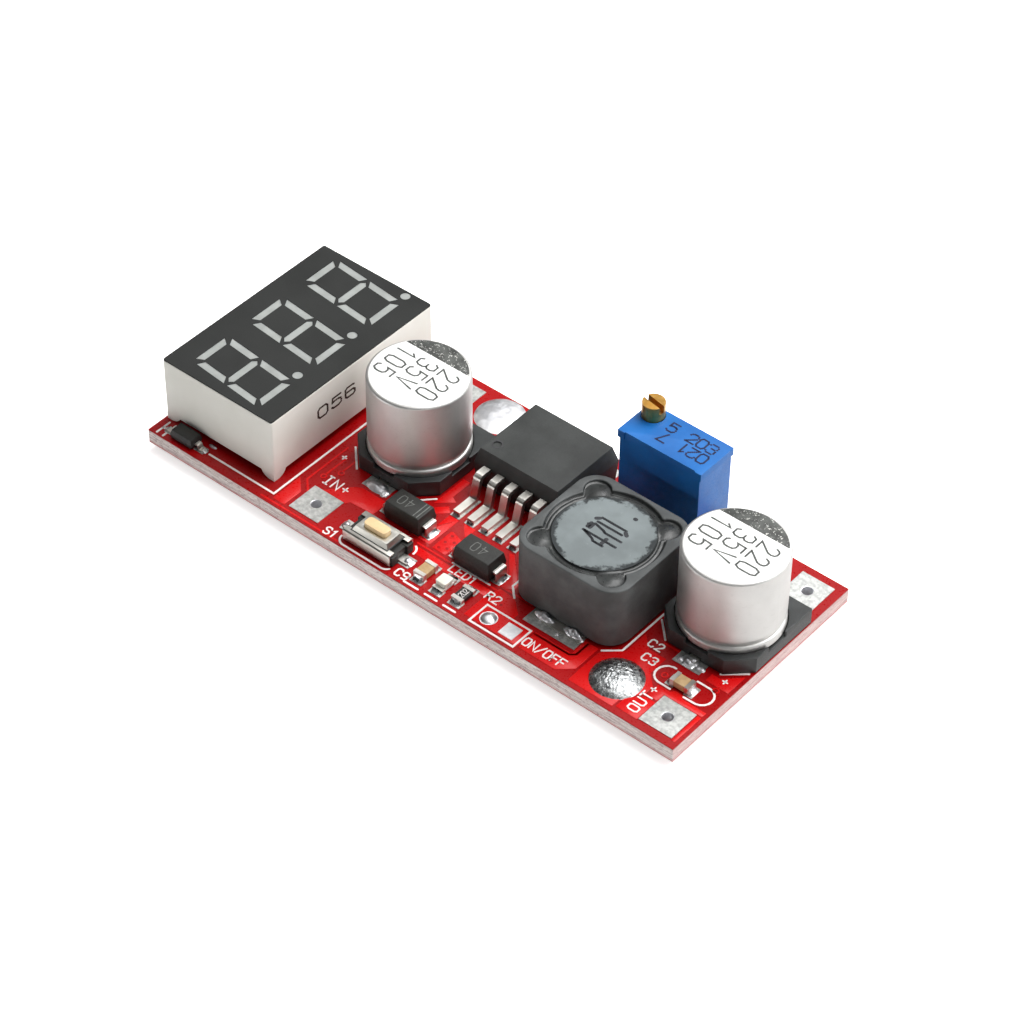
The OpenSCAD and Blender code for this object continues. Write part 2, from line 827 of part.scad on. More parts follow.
// turns of round wire between the drum's flanges, one ring for each turn
module inductor_winding() {
    z0 = ring_z + drum_flange + fit;
    space = ind_h - drum_drop - drum_flange - fit - z0;
    turns = floor(space / wire_d);
    layers = floor((drum_r - drum_core_r - fit) / wire_d);
    color("sienna") on_board() at(ind_x, ind_y, z0) rotate_extrude($fn = 64) {
        translate([drum_core_r + fit, 0]) square([layers * wire_d - 0.1, turns * wire_d]);
        for (i = [0 : turns - 1]) {
            translate([drum_core_r + fit + layers * wire_d - 0.1, (i + 0.5) * wire_d]) {
                circle(wire_d / 2 - eps, $fn = 20);
            }
        }
    }
}

// glue poured round the upper flange and into the lobes
module inductor_glue() {
    deep = drum_flange * 0.8;
    glue_drop = 0.08;
    color("black") on_board() at(ind_x, ind_y, ind_h - drum_drop - deep) linear_extrude(height = deep - glue_drop) {
        difference() {
            intersection() {
                ring_opening();
                union() {
                    circle(ind_bore_r - fit, $fn = 96);
                    for (a = [45 : 90 : 315]) {
                        rotate(a) translate([ind_lobe_d, 0]) circle(ind_lobe_r - fit);
                    }
                }
            }
            circle(drum_r + fit, $fn = 96);
        }
    }
}

// tinned clips under the ring at the front and the back
module inductor_clips() {
    under = 2.4;
    out = 0.9;
    color("silver") on_board() at(ind_x, ind_y) {
        for (turn = [0, 180]) {
            rotate(turn) translate([-clip_w / 2, -ind_l / 2 - out, pad_t]) cube([clip_w, under + out, clip_t]);
        }
    }
}

// ---- trimmer ----

// inside of the housing, open at the bottom
module trimmer_cavity(grow) {
    x0 = screw_x - cavity_end - grow;
    x1 = trim_x + trim_l / 2 - trim_step - trim_wall + grow;
    at(x0, trim_y - trim_w / 2 + trim_wall - grow, 0) {
        cube([x1 - x0, trim_w - 2 * trim_wall + 2 * grow, cavity_top]);
    }
}

module trimmer_housing() {
    notch_l = trim_l - 1.5;
    notch_h = trim_lip + eps;
    color("royalblue") on_board() difference() {
        union() {
            at(trim_x, trim_y + trim_front / 2, trim_stand) {
                box(trim_l - 2 * trim_step, trim_w - trim_front, trim_h - trim_stand);
            }
            at(trim_x, trim_y, trim_h - trim_lip) box(trim_l, trim_w, trim_lip);
        }
        at(trim_x, trim_y - trim_w / 2, trim_h - notch_h) box(notch_l, 2 * trim_front, 2);
        trimmer_cavity(0);
        at(screw_x, screw_y, cavity_top - 1) cylinder(r = thread_r + run, h = 4);
        at(screw_x, screw_y, trim_h - trim_lip - run) cylinder(r = screw_r + run, h = 4);
    }
}

module trimmer_screw() {
    shoulder_z = trim_h - trim_lip;
    tip_z = trim_floor - 0.4;
    color("goldenrod") on_board() at(screw_x, screw_y) rotate(slot_turn) difference() {
        union() {
            translate([0, 0, shoulder_z]) cylinder(r = screw_r, h = trim_h + screw_out - shoulder_z);
            translate([0, 0, tip_z]) cylinder(r = thread_r, h = shoulder_z - tip_z + eps);
        }
        translate([-screw_r * 2, -slot_w / 2, trim_h + screw_out - slot_d]) cube([screw_r * 4, slot_w, slot_d + 1]);
    }
}

// nut that the lead screw moves up and down, shown at the middle of its travel
module trimmer_carriage() {
    low = trim_floor + 0.3;
    high = cavity_top - 0.6;
    gap = 0.08;
    wiper = 0.25;
    front = trim_y - trim_w / 2 + trim_wall + element_t + wiper;
    back = trim_y + trim_w / 2 - trim_wall - gap;
    color("whitesmoke") on_board() difference() {
        at(screw_x - cavity_end + gap, front, (low + high - carriage_h) / 2) {
            cube([carriage_l, back - front, carriage_h]);
        }
        at(screw_x, screw_y, 0) cylinder(r = thread_r + run, h = trim_h);
    }
}

// resistance element on its ceramic plate, along the front wall of the cavity
module trimmer_element() {
    x0 = screw_x - cavity_end + fit;
    x1 = trim_x + trim_l / 2 - trim_step - trim_wall - fit;
    color("white") on_board() at(x0, trim_y - trim_w / 2 + trim_wall + fit, trim_floor + fit) {
        cube([x1 - x0, element_t - fit, cavity_top - trim_floor - 0.2]);
    }
}

// sealed floor of the housing, standing on the board by its two feet
module trimmer_base() {
    color("steelblue") on_board() difference() {
        union() {
            intersection() {
                trimmer_cavity(-fit);
                at(trim_x, trim_y, trim_stand) box(trim_l, trim_w, trim_floor - trim_stand);
            }
            for (side = [-1, 1]) {
                at(trim_x + side * (trim_l / 2 - 1.45), trim_y) box(0.9, trim_w - 1.2, trim_stand + eps);
            }
        }
        trimmer_pin_places() cylinder(r = pin_w / 2 + fit, h = trim_h, $fn = 24);
        at(screw_x, screw_y, trim_floor - 0.5) cylinder(r = thread_r + run, h = 2);
    }
}

module trimmer_pins() {
    color("silver") on_board() trimmer_pin_places() translate([0, 0, foot_z + 0.2]) {
        cylinder(r = pin_w / 2, h = trim_floor - foot_z - 0.2, $fn = 24);
    }
}

// ---- push-button switch ----

// cover in section across Y: two side walls, shoulders and the raised frame
function cover_points() =
    let(half = cover_w / 2, s = shoulder_w, top = cover_h + frame_h, t = sheet_t)
    [[-half, 0.18], [-half, cover_h - 0.12], [-half + 0.12, cover_h], [-half + s, cover_h],
        [-half + s + frame_slope, top], [half - s - frame_slope, top], [half - s, cover_h],
        [half - 0.12, cover_h], [half, cover_h - 0.12], [half, 0.18], [half - t, 0.18],
        [half - t, cover_h - t], [half - s - t, cover_h - t], [half - s - frame_slope - t / 2, top - t],
        [-half + s + frame_slope + t / 2, top - t], [-half + s + t, cover_h - t],
        [-half + t, cover_h - t], [-half + t, 0.18]];

module button_outline(grow) {
    rounded(button_l + 2 * grow, button_w + 2 * grow, 0.35 + grow);
}

module switch_cover() {
    end = 0.7;
    frame_l = cover_l - 2 * end;
    color("silver") on_board() at(switch_x, switch_y) difference() {
        union() {
            intersection() {
                rotate([90, 0, 90]) translate([0, 0, -cover_l / 2]) linear_extrude(height = cover_l) {
                    polygon(cover_points());
                }
                union() {
                    translate([0, 0, -1]) box(cover_l, cover_w, 1 + cover_h);
                    frame_block(frame_l);
                }
            }
            frame_ends(frame_l);
        }
        translate([0, 0, -1]) linear_extrude(height = 6) button_outline(run);
        for (side = [-1, 1]) {
            translate([side * (cover_l / 2), 0, -1]) box(0.5, 1.3, 6);
        }
    }
}

// solid frustum under the raised frame's outer faces
module frame_block(l) {
    half = l / 2;
    rotate([90, 0, 0]) translate([0, 0, -cover_w]) linear_extrude(height = 2 * cover_w) {
        polygon([[-half, cover_h - eps], [half, cover_h - eps],
            [half - frame_slope, cover_h + frame_h], [-half + frame_slope, cover_h + frame_h]]);
    }
}

// sloping end walls of the raised frame
module frame_ends(l) {
    half = l / 2;
    t = sheet_t;
    w = cover_w - 2 * shoulder_w - 2 * frame_slope;
    for (side = [-1, 1]) {
        scale([side, 1, 1]) rotate([90, 0, 0]) translate([0, 0, -w / 2]) linear_extrude(height = w) {
            polygon([[half, cover_h], [half - frame_slope, cover_h + frame_h],
                [half - frame_slope - t, cover_h + frame_h], [half - t, cover_h - t], [half, cover_h - t]]);
        }
    }
}

module switch_button() {
    top = cover_h + frame_h + button_out;
    color("wheat") on_board() at(switch_x, switch_y) {
        translate([0, 0, button_floor]) linear_extrude(height = top - button_floor) button_outline(0);
        translate([0, 0, button_floor]) linear_extrude(height = flange_t) button_outline(flange_out);
        translate([0, 0, button_floor - pip_h]) cylinder(r = 0.5, h = pip_h + eps);
    }
}

module switch_base() {
    well_r = dome_disc_r + 0.12;
    floor_z = disc_top - disc_h - fit;
    color("black") on_board() at(switch_x, switch_y) difference() {
        union() {
            translate([0, 0, 0.1]) box(switch_l - 0.5, cover_w - 2 * sheet_t - 2 * fit, button_floor - button_travel - 0.15);
            for (sx = [-1, 1]) {
                for (sy = [-1, 1]) {
                    translate([sx * (switch_l / 2 - 0.4), sy * (switch_w / 2 - 0.55), 0.1]) box(0.8, 0.8, 1);
                }
            }
        }
        translate([0, 0, floor_z]) cylinder(r = well_r, h = 4);
        for (side = [-1, 1]) {
            translate([side * (switch_l / 2 - 0.3), 0, -1]) box(1.3, 1.04, 1.36);
        }
    }
}

// domed contact disc that the button snaps down
module switch_dome() {
    z = disc_top - disc_h;
    edge = 0.04;
    upper = dome_profile(dome_disc_r, disc_h - edge, z + edge);
    low = dome_profile(dome_disc_r, disc_h - edge - 0.05, z);
    lower = [for (i = [len(low) - 1 : -1 : 0]) low[i]];
    color("silver") on_board() at(switch_x, switch_y) rotate_extrude() polygon(concat(upper, lower));
}

module switch_terminals() {
    half = switch_l / 2;
    sheet = 0.2;
    color("silver") on_board() at(switch_x, switch_y) {
        for (turn = [0, 180]) {
            rotate(turn) translate([half - 0.9, -0.5, pad_t]) cube([1.75, 1, sheet]);
        }
    }
}

// ---- diodes ----

module diode_body(l, w, h, draft) {
    color("black") moulded(l, w, pad_t + 0.06, h * 0.52, h, draft * 0.6, draft);
}

// leads that leave the body at half height and fold back under it
module folded_leads(l, w, h, t) {
    half = l / 2;
    low = pad_t + t / 2;
    path = [[half + fit, h * 0.52], [half + 0.42, h * 0.52], [half + 0.42, low], [half + fit + 0.02, low]];
    color("silver") for (turn = [0, 180]) {
        rotate(turn) bent_strip(path, t, w, 0.18);
    }
}

module input_diode_body() {
    on_board() at(input_diode_x, input_diode_y) diode_body(diode_l, diode_w, diode_h, 0.18);
}

module input_diode_leads() {
    on_board() at(input_diode_x, input_diode_y) folded_leads(diode_l, diode_lead_w, diode_h, 0.2);
}

module catch_diode_body() {
    on_board() at(catch_diode_x, catch_diode_y) diode_body(diode_l, diode_w, diode_h, 0.18);
}

module catch_diode_leads() {
    on_board() at(catch_diode_x, catch_diode_y) folded_leads(diode_l, diode_lead_w, diode_h, 0.2);
}

module small_diode_body() {
    on_board() at(small_diode_x, small_diode_y) {
        diode_body(small_diode_l, small_diode_w, small_diode_h, 0.15);
    }
}

module small_diode_leads() {
    half = small_diode_l / 2;
    low = pad_t + 0.07;
    mid = small_diode_h * 0.52;
    path = [[half + fit, mid], [half + 0.35, mid], [half + 0.5, low], [half + 0.95, low]];
    color("silver") on_board() at(small_diode_x, small_diode_y) {
        for (turn = [0, 180]) {
            rotate(turn) bent_strip(path, 0.14, 0.6, 0.12);
        }
    }
}

// ---- chip parts ----

module chip_core(h) {
    translate([0, 0, pad_t + 0.05]) box(chip_l - 0.1, chip_w - 0.08, h - 0.1);
}

module chip_ends(h, end) {
    difference() {
        for (side = [-1, 1]) {
            translate([side * (chip_l - end) / 2, 0, pad_t]) box(end, chip_w, h);
        }
        translate([0, 0, pad_t + 0.05 - fit]) box(chip_l - 0.1 + 2 * fit, chip_w - 0.08 + 2 * fit, h - 0.1 + 2 * fit);
    }
}

module filter_capacitor_body() {
    color("tan") on_board() at(chip1_x, chip_y) rotate(90) chip_core(chip_cap_h);
}

module filter_capacitor_ends() {
    color("silver") on_board() at(chip1_x, chip_y) rotate(90) chip_ends(chip_cap_h, chip_end);
}

module output_chip_body() {
    color("tan") on_board() at(chip3_x, chip3_y) chip_core(chip_cap_h);
}

module output_chip_ends() {
    color("silver") on_board() at(chip3_x, chip3_y) chip_ends(chip_cap_h, chip_end);
}

module lamp_resistor_body() {
    color("black") on_board() at(resistor_x, chip_y) rotate(90) chip_core(chip_res_h);
}

module lamp_resistor_ends() {
    color("silver") on_board() at(resistor_x, chip_y) rotate(90) chip_ends(chip_res_h, chip_end);
}

module lamp_base() {
    color("ivory") on_board() at(lamp_x, chip_y) rotate(90) chip_core(lamp_base_h);
}

module lamp_ends() {
    color("silver") on_board() at(lamp_x, chip_y) rotate(90) chip_ends(lamp_base_h, chip_end * 0.75);
}

module lamp_lens() {
    color("whitesmoke") on_board() at(lamp_x, chip_y, pad_t + lamp_base_h + fit) rotate(90) {
        plate(chip_l * 0.62, chip_w - 0.05, chip_cap_h - lamp_base_h, 0.2);
    }
}

board();
terminal_pads();
enable_pads();
mounting_solder();
smd_pads();
joint_solder();
display_housing();
display_face();
display_segments();
display_back();
display_pins();
controller_body();
controller_leads();
input_capacitor_can();
input_capacitor_base();
input_capacitor_leads();
output_capacitor_can();
output_capacitor_base();
output_capacitor_leads();
regulator_body();
regulator_tab();
regulator_leads();
inductor_shield();
inductor_drum();
inductor_winding();
inductor_glue();
inductor_clips();
trimmer_housing();
trimmer_screw();
trimmer_carriage();
trimmer_element();
trimmer_base();
trimmer_pins();
switch_base();
switch_cover();
switch_button();
switch_dome();
switch_terminals();
input_diode_body();
input_diode_leads();
catch_diode_body();
catch_diode_leads();
small_diode_body();
small_diode_leads();
filter_capacitor_body();
filter_capacitor_ends();
output_chip_body();
output_chip_ends();
lamp_resistor_body();
lamp_resistor_ends();
lamp_base();
lamp_lens();
lamp_ends();
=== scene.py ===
# %% [markdown]
# # A step-down converter board with a digit display
#
# This lesson dresses the solids of a small power converter: a red circuit board that carries a
# three-digit display, two aluminium capacitors, a regulator, a shielded coil, a blue trimmer and
# a push button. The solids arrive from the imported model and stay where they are. Blender adds the
# finishes, the soft edges, the solder, the copper tracks under the red resist and the white print.

# %% Load the solids
import math
import bpy
import bmesh
from mathutils import Matrix, Vector, noise


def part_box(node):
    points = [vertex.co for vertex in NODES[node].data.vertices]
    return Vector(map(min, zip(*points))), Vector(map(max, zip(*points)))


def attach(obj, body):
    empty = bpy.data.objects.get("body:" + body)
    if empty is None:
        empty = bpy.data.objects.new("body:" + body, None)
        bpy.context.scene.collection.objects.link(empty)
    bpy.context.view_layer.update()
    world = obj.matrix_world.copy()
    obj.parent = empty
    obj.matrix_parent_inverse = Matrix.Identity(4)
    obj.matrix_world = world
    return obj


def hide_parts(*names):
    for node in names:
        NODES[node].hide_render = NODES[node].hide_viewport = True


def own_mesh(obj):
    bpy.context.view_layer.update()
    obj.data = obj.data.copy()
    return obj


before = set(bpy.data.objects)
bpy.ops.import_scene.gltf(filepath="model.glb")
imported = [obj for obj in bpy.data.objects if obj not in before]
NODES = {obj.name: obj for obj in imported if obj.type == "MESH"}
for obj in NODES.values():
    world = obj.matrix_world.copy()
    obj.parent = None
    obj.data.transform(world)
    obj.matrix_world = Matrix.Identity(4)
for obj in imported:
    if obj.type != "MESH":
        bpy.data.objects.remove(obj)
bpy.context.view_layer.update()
MM = 0.001

# %% [markdown]
# ## Places on the board
#
# Everything on the board is laid out from its front left corner, on its top face, in
# millimetres, as on a drawing of the board. `at` turns such a place into metres in the frame of
# the solids, and `extent` and `centre` read a solid back in the same terms. `around` and `axes`
# give places on a circle and directions on the board.

# %% Places
board_low, board_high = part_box("board")
BOARD_L = (board_high.x - board_low.x) / MM
BOARD_W = (board_high.y - board_low.y) / MM
BOARD_T = (board_high.z - board_low.z) / MM


def at(x, y, z=0.0):
    """A place on the board, in millimetres from its front left corner and top, in metres."""
    return Vector((board_low.x + x * MM, board_low.y + y * MM, board_high.z + z * MM))


def extent(node):
    """The lowest and highest corner of a solid, in millimetres on the board."""
    low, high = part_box(node)
    origin = at(0, 0)
    return (low - origin) / MM, (high - origin) / MM


def centre(node):
    """The middle of a solid, in millimetres on the board."""
    low, high = extent(node)
    return (low + high) / 2


def around(x, y, r, t):
    """The place at a distance r from x, y, in the direction t, in radians."""
    return x + r * math.cos(t), y + r * math.sin(t)


def axes(heading):
    """The direction of a heading in degrees, and the direction to its left."""
    ahead = Vector(around(0.0, 0.0, 1.0, math.radians(heading)))
    return ahead, Vector((-ahead.y, ahead.x))


print(f"board: {BOARD_L:.2f} x {BOARD_W:.2f} x {BOARD_T:.2f} mm")

# %% [markdown]
# ## The camera
#
# The board is seen from its front right, from well above, through a long lens that keeps its
# edges nearly parallel. The camera is turned with its three directions written out: to the
# right, down, and forward.

# %% Camera
CAMERA_AT = Vector((141.48, -167.31, 209.40)) * MM
CAMERA_RIGHT = Vector((0.763946, 0.645251, 0.006188))
CAMERA_DOWN = Vector((0.446149, -0.521242, -0.727501))
CAMERA_FORWARD = Vector((-0.466195, 0.558532, -0.686078))
CAMERA_LENS = 115.8

camera_data = bpy.data.cameras.new("camera")
camera_data.sensor_width = 36.0
camera_data.lens = CAMERA_LENS
camera_data.clip_start = 0.01
camera_data.clip_end = 20.0
camera = bpy.data.objects.new("camera", camera_data)
bpy.context.scene.collection.objects.link(camera)
turn = Matrix((CAMERA_RIGHT, -CAMERA_DOWN, -CAMERA_FORWARD)).transposed().to_4x4()
camera.matrix_world = Matrix.Translation(CAMERA_AT) @ turn
bpy.context.scene.camera = camera
print(f"camera: {CAMERA_AT.length:.3f} m away, lens {CAMERA_LENS} mm")

# %% [markdown]
# ## Building materials from nodes
#
# A material here is a Principled shader and the nodes that feed it. `Sheet` keeps the wiring
# short: it makes a node, sets its plain values and links what comes from other nodes. Colours are
# written as they are seen, from 0 to 255, and `seen` turns them into the linear values that the
# shader expects. Every finish is kept in MATERIALS under its name.

# %% Helpers for materials
MATERIALS = {}


def seen(r, g, b):
    """A colour as it is seen, 0 to 255, as the linear colour a shader takes."""
    out = []
    for c in (r, g, b):
        c = c / 255.0
        out.append(c / 12.92 if c <= 0.04045 else ((c + 0.055) / 1.055) ** 2.4)
    return (*out, 1.0)


class Sheet:
    """The nodes of one material or node group."""

    def __init__(self, tree):
        self.tree = tree

    def put(self, kind, values=None, **settings):
        """Adds a node. values maps a socket's name or number to a value or to another socket."""
        n = self.tree.nodes.new(kind)
        for key, value in settings.items():
            setattr(n, key, value)
        for key, value in (values or {}).items():
            if isinstance(value, bpy.types.NodeSocket):
                self.tree.links.new(value, n.inputs[key])
            else:
                n.inputs[key].default_value = value
        return n

    def sum(self, a, b):
        """Two numbers added."""
        return self.put("ShaderNodeMath", {0: a, 1: b}, operation="ADD").outputs[0]

    def times(self, a, b):
        """Two numbers multiplied."""
        return self.put("ShaderNodeMath", {0: a, 1: b}, operation="MULTIPLY").outputs[0]

    def larger(self, a, b):
        """The larger of two numbers."""
        return self.put("ShaderNodeMath", {0: a, 1: b}, operation="MAXIMUM").outputs[0]

    def vector(self, how, a, b):
        """One step on two vectors, such as ADD."""
        return self.put("ShaderNodeVectorMath", {0: a, 1: b}, operation=how).outputs[0]

    def span(self, value, low, high, to_low=0.0, to_high=1.0):
        """The value stretched from one range to another, smoothly and within limits."""
        values = {0: value, 1: low, 2: high, 3: to_low, 4: to_high}
        return self.put("ShaderNodeMapRange", values, interpolation_type="SMOOTHSTEP").outputs[0]

    def mix(self, factor, a, b):
        """Colour a turning into colour b. Each is a socket, or three numbers as seen."""
        a, b = (c if isinstance(c, bpy.types.NodeSocket) else seen(*c) for c in (a, b))
        return self.put("ShaderNodeMix", {0: factor, 6: a, 7: b}, data_type="RGBA").outputs[2]

    def place(self):
        """Where the surface is, in metres, in the frame of the solids."""
        return self.put("ShaderNodeTexCoord").outputs["Object"]

    def stretched(self, scale, vector=None):
        """The place, stretched by a factor along each axis."""
        vector = vector or self.place()
        return self.put("ShaderNodeMapping", {"Vector": vector, "Scale": scale}).outputs[0]

    def noise(self, scale, detail=2.0, rough=0.5, vector=None):
        """Cloudy noise: scale is in blotches a metre."""
        values = {"Scale": scale, "Detail": detail, "Roughness": rough}
        values["Vector"] = vector or self.place()
        return self.put("ShaderNodeTexNoise", values).outputs[0]

    def group(self, name, **values):
        """Places a node group. A value's name is the input's name with _ for a space."""
        named = {key.replace("_", " "): value for key, value in values.items()}
        return self.put("ShaderNodeGroup", named, node_tree=bpy.data.node_groups[name])


def material(name, **plain):
    """A new finish with a Principled shader. plain sets sockets, with _ for a space."""
    finish = bpy.data.materials.new(name)
    finish.use_nodes = True
    finish.node_tree.nodes.clear()
    MATERIALS[name] = finish
    sheet = Sheet(finish.node_tree)
    named = {key.replace("_", " "): value for key, value in plain.items()}
    shader = sheet.put("ShaderNodeBsdfPrincipled", named)
    sheet.put("ShaderNodeOutputMaterial", {"Surface": shader.outputs[0]})
    return sheet, shader


def feed(sheet, shader, **sockets):
    """Links values into the shader's sockets."""
    for key, value in sockets.items():
        sheet.tree.links.new(value, shader.inputs[key.replace("_", " ")])


def bump(sheet, height, strength, depth):
    """A normal from a height. depth is in millimetres."""
    values = {"Height": height, "Strength": strength, "Distance": depth * MM}
    return sheet.put("ShaderNodeBump", values).outputs[0]


print("material helpers ready")

# %% [markdown]
# ## Two effects that many finishes share
#
# Moulded plastic, ferrite and resist all show a fine grain and slow changes of tone, so one group
# makes both. Tin, solder and sheet metal all show smears where they were touched or wiped, so
# another group makes those. Each material then sets the size and the contrast that its surface
# has.

# %% Shared groups


def new_group(name, inputs, outputs):
    """An empty node group with named number inputs and named outputs."""
    tree = bpy.data.node_groups.new(name, "ShaderNodeTree")
    for label, default in inputs:
        socket = tree.interface.new_socket(label, in_out="INPUT", socket_type="NodeSocketFloat")
        socket.default_value = default
    for label in outputs:
        tree.interface.new_socket(label, in_out="OUTPUT", socket_type="NodeSocketFloat")
    sheet = Sheet(tree)
    return sheet, sheet.put("NodeGroupInput"), sheet.put("NodeGroupOutput")


PER_METRE = 1000.0

# grain: sizes are in grains and blotches for each millimetre
sheet, given, result = new_group(
    "Grain", [("Grains per mm", 12.0), ("Blotches per mm", 0.4)], ["Grain", "Tone", "Height"])
fine = sheet.noise(sheet.times(given.outputs[0], PER_METRE), 3.0, 0.6)
broad = sheet.noise(sheet.times(given.outputs[1], PER_METRE), 3.0, 0.55)
height = sheet.sum(fine, sheet.times(broad, 0.35))
for i, value in enumerate((fine, sheet.span(broad, 0.3, 0.7), height)):
    sheet.tree.links.new(value, result.inputs[i])

# smears: wiped patches with thin scratches in them
sheet, given, result = new_group(
    "Smears", [("Smears per mm", 0.6), ("Scratches per mm", 6.0)], ["Smear", "Scratch"])
WARP_SCALE, WARP_REACH = 900.0, 0.0012
place = sheet.place()
warp = sheet.put("ShaderNodeTexNoise", {"Vector": place, "Scale": WARP_SCALE, "Detail": 2.0})
bent = sheet.put("ShaderNodeVectorMath", {0: warp.outputs["Color"], "Scale": WARP_REACH},
                 operation="SCALE").outputs[0]
moved = sheet.vector("ADD", place, bent)
patch = sheet.noise(sheet.times(given.outputs[0], PER_METRE), 4.0, 0.6, moved)
line = sheet.stretched((1.0, 0.12, 1.0), moved)
scratch = sheet.noise(sheet.times(given.outputs[1], PER_METRE), 2.0, 0.5, line)
sheet.tree.links.new(sheet.span(patch, 0.35, 0.7), result.inputs[0])
sheet.tree.links.new(sheet.span(scratch, 0.55, 0.75), result.inputs[1])
print("groups:", [g.name for g in bpy.data.node_groups])

# %% [markdown]
# ## Finishes
#
# ### Moulded plastics and resins
#
# Black packages, the capacitor bases, the display's white shell and the blue trimmer are all
# moulded, so one function makes them: a tone that drifts a little, a fine grain in the surface,
# and a gloss that follows the grain.

# %% Moulded finishes


def moulded(name, dark, light, rough, grains, blotches, relief, sheen=0.0, shine=0.5):
    """A moulded plastic between two tones.

    rough is the two ends of its roughness, grains and blotches are counts for each millimetre,
    and relief is the depth of the grain in millimetres.
    """
    sheet, shader = material(name, Specular_IOR_Level=shine)
    grain = sheet.group("Grain", Grains_per_mm=grains, Blotches_per_mm=blotches)
    tone = sheet.mix(grain.outputs["Tone"], dark, light)
    speck = sheet.span(grain.outputs["Grain"], 0.35, 0.65)
    colour = sheet.mix(sheet.times(speck, 0.12), tone, light)
    gloss = sheet.span(grain.outputs["Grain"], 0.3, 0.7, rough[0], rough[1])
    feed(sheet, shader, Base_Color=colour, Roughness=gloss,
         Normal=bump(sheet, grain.outputs["Height"], 0.6, relief))
    if sheen:
        shader.inputs["Coat Weight"].default_value = sheen
        shader.inputs["Coat Roughness"].default_value = 0.15


moulded("display shell", (218, 217, 209), (230, 229, 222), (0.42, 0.55), 9.0, 0.12, 0.004)
moulded("display mask", (38, 39, 38), (46, 47, 46), (0.6, 0.7), 10.0, 0.1, 0.002, shine=0.22)
moulded("black base", (26, 28, 28), (44, 47, 47), (0.4, 0.58), 10.0, 0.3, 0.008)
moulded("package black", (26, 26, 24), (42, 42, 39), (0.5, 0.68), 9.0, 0.5, 0.01)
moulded("regulator black", (42, 44, 43), (56, 58, 57), (0.5, 0.64), 9.0, 0.25, 0.007, shine=0.4)
moulded("trimmer blue", (2, 92, 166), (10, 106, 184), (0.4, 0.54), 8.0, 0.3, 0.006, 0.03, 0.4)
moulded("button cream", (214, 184, 136), (228, 200, 152), (0.38, 0.52), 10.0, 0.8, 0.004)
moulded("white plastic", (222, 221, 214), (236, 235, 229), (0.35, 0.5), 10.0, 0.5, 0.004)
moulded("coil resin", (24, 25, 25), (46, 49, 48), (0.26, 0.42), 3.0, 0.9, 0.008, 0.1)
moulded("ferrite", (62, 64, 64), (86, 89, 89), (0.5, 0.66), 7.0, 0.3, 0.014, shine=0.4)
moulded("chip tan", (170, 138, 96), (196, 166, 122), (0.35, 0.5), 14.0, 1.2, 0.006)
print("moulded finishes:", len(MATERIALS))

# %% [markdown]
# ### Metals
#
# Tin and solder are bright where they froze smooth and dull where they froze crystalline, so
# their roughness follows the smears. The cans are drawn aluminium: satin, with very fine grain.
# The brass screw is handled with a screwdriver, so it has more smears than the sheet metal.

# %% Metal finishes


def metal(name, dark, light, rough, smears, scratches, relief, grains):
    """A metal between two tones, wiped and scratched a little, in the same terms."""
    sheet, shader = material(name, Metallic=1.0)
    wipe = sheet.group("Smears", Smears_per_mm=smears, Scratches_per_mm=scratches)
    grain = sheet.group("Grain", Grains_per_mm=grains, Blotches_per_mm=smears)
    colour = sheet.mix(grain.outputs["Tone"], dark, light)
    gloss = sheet.span(wipe.outputs["Smear"], 0.0, 1.0, rough[0], rough[1])
    gloss = sheet.sum(gloss, sheet.times(wipe.outputs["Scratch"], 0.12))
    height = sheet.sum(grain.outputs["Height"], sheet.times(wipe.outputs["Scratch"], 0.5))
    feed(sheet, shader, Base_Color=colour, Roughness=gloss,
         Normal=bump(sheet, height, 0.5, relief))


metal("can aluminium", (194, 193, 191), (206, 205, 203), (0.46, 0.56), 0.15, 5.0, 0.004, 16.0)
metal("pad tin", (164, 165, 163), (198, 199, 196), (0.46, 0.62), 2.6, 6.0, 0.02, 9.0)
metal("lead tin", (198, 195, 188), (218, 216, 210), (0.32, 0.46), 0.35, 8.0, 0.003, 12.0)
metal("solder", (168, 169, 170), (214, 215, 216), (0.2, 0.42), 1.4, 4.0, 0.02, 5.0)
metal("pale solder", (216, 217, 220), (240, 240, 242), (0.34, 0.5), 1.2, 4.0, 0.01, 5.0)
metal("grainy solder", (124, 126, 127), (196, 198, 198), (0.22, 0.4), 2.6, 6.0, 0.07, 8.0)
metal("cover steel", (200, 198, 190), (218, 216, 208), (0.3, 0.42), 0.3, 9.0, 0.002, 14.0)
metal("screw brass", (186, 138, 66), (216, 172, 98), (0.28, 0.42), 0.8, 8.0, 0.006, 10.0)
metal("winding copper", (150, 74, 40), (184, 100, 60), (0.3, 0.45), 1.0, 6.0, 0.01, 6.0)
print("finishes so far:", len(MATERIALS))
